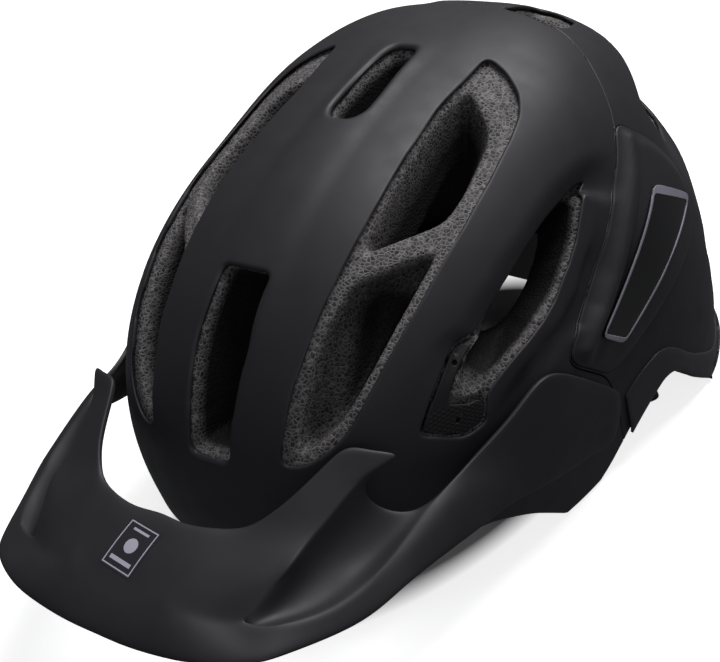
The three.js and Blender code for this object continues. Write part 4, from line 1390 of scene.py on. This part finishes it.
FRONT_STRAP = [
    (69.3, -41, -33, (0, 1, 0.1)), (69.8, -38, -41, (0, 1, 0.3)), (73.2, -21, -52, (0, 0.8, 0.7)),
    (76.4, -5, on_table(-5, 13.5), (0, 0.5, 0.9))]
REAR_STRAP = [
    (69, 27, -40.5, (0, 1, 0)), (70.4, 29, -55, (-0.2, 1, 0.3)), (82.5, 34, -68, (-0.5, 0.6, 0.6)),
    (91, 33, on_table(33, 9), (-0.3, 0.2, 0.9)), (88.5, 24, on_table(24, 7.6), (0.5, 0.2, 0.8)),
    (82, 18, on_table(18, 8.4), (0.5, 0.5, 0.8)), (77.6, 14.6, on_table(14.6, 10), (0.1, 0.4, 0.9))]
CHIN_Y = 4
LEVEL_FORWARD = (0, math.cos(REST_TILT), -math.sin(REST_TILT))


def chin_stops(to_x):
    places = ((72.2, 8), (67, 3.4), (58, 1.8), ((58 + to_x) / 2, 1.4), (to_x, 4.6))
    return [(x, CHIN_Y, on_table(CHIN_Y, height), LEVEL_FORWARD) for x, height in places]


def build_webbing():
    for side, word in ((1, "left"), (-1, "right")):
        front = ribbon(f"front_strap_{word}_web", FRONT_STRAP, 15, side)
        finished(front, "webbing", "helmet", f"front_strap_{word}")
        rear = ribbon(f"rear_strap_{word}_web", REAR_STRAP, 12, side)
        finished(rear, "webbing", "helmet", f"rear_strap_{word}")
        for part in (f"front_anchor_{word}", f"rear_anchor_{word}"):
            rounded_copy(part, "nylon", "helmet", 0.4)
        rounded_copy(f"strap_divider_{word}", "nylon", "helmet", 1.4)
    left = ribbon("chin_strap_left_web", chin_stops(21.6), 15)
    finished(left, "webbing", "helmet", "chin_strap_left")
    right = ribbon("chin_strap_right_web", chin_stops(24.6), 15, -1)
    finished(right, "webbing", None, "chin_strap_right")
    ends = [to_world((x, CHIN_Y, on_table(CHIN_Y, 3))) for x in (-66, -26)]
    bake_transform(right)
    rounded_copy("strap_keeper", "rubber", "keeper", 0.6)
    rounded_copy("buckle_female", "nylon", "helmet", 1.3)
    rounded_copy("buckle_male", "nylon", "buckle_half", 1.0)


# ---------------------------------------------------------------- fit dial and pins
DIAL_HEIGHT, DIAL_BACK, DIAL_RADIUS = -77, 103.4, 12
DIAL_STEPS, DIAL_RIBS = 240, 20


def build_dial():
    """A knob turned about Y, with finger ribs round its edge."""
    profile = (
        (0.0, 11.6), (0.35, 11.7), (0.62, 11.9), (0.8, 11.9), (0.93, 11.4), (1.0, 10.2), (1.0, 5.6),
        (0.98, 4.5), (0.3, 4.5))
    turn = np.linspace(0, 2 * np.pi, DIAL_STEPS, endpoint=False)
    ribs = 1 - 0.035 * (0.5 + 0.5 * np.cos(turn * DIAL_RIBS)) ** 2
    rows = []
    for share, out in profile:
        radius = DIAL_RADIUS * share * (ribs if share > 0.9 else 1)
        x, z = radius * np.cos(turn), radius * np.sin(turn)
        rows.append(np.stack([x, np.full(DIAL_STEPS, DIAL_BACK + out), DIAL_HEIGHT + z], -1))
    points = np.concatenate(rows)
    faces = grid_faces(len(profile), DIAL_STEPS, True)[:, ::-1]
    dial = new_object("fit_dial_knob", points, faces, 50)
    finished(dial, "rubber", "dial", "fit_dial")
    rounded_copy("dial_housing", "nylon", "cradle", 0.6)


def build_small_parts():
    for word in ("left", "right"):
        rounded_copy(f"visor_pin_{word}", "steel", "visor", 0.4)
        rounded_copy(f"visor_bush_{word}", "nylon", "helmet", 0.4)
        rounded_copy(f"temple_pin_{word}", "steel", "helmet", 0.5)


# ---------------------------------------------------------------- everything
add_camera()
add_floor()
add_studio()
build_shells()
build_foam()
for side, word in ((1, "left"), (-1, "right")):
    build_band(side, word)
    build_grip(side, word)
    build_arm(side, word)
build_bumper()
visor = build_visor()
build_label(visor)
build_cradle()
for pad in ("brow_pad", "crown_pad_left", "crown_pad_right", "side_pad_left", "side_pad_right"):
    puffed(pad, pad + "_cushion")
build_webbing()
build_dial()
build_small_parts()
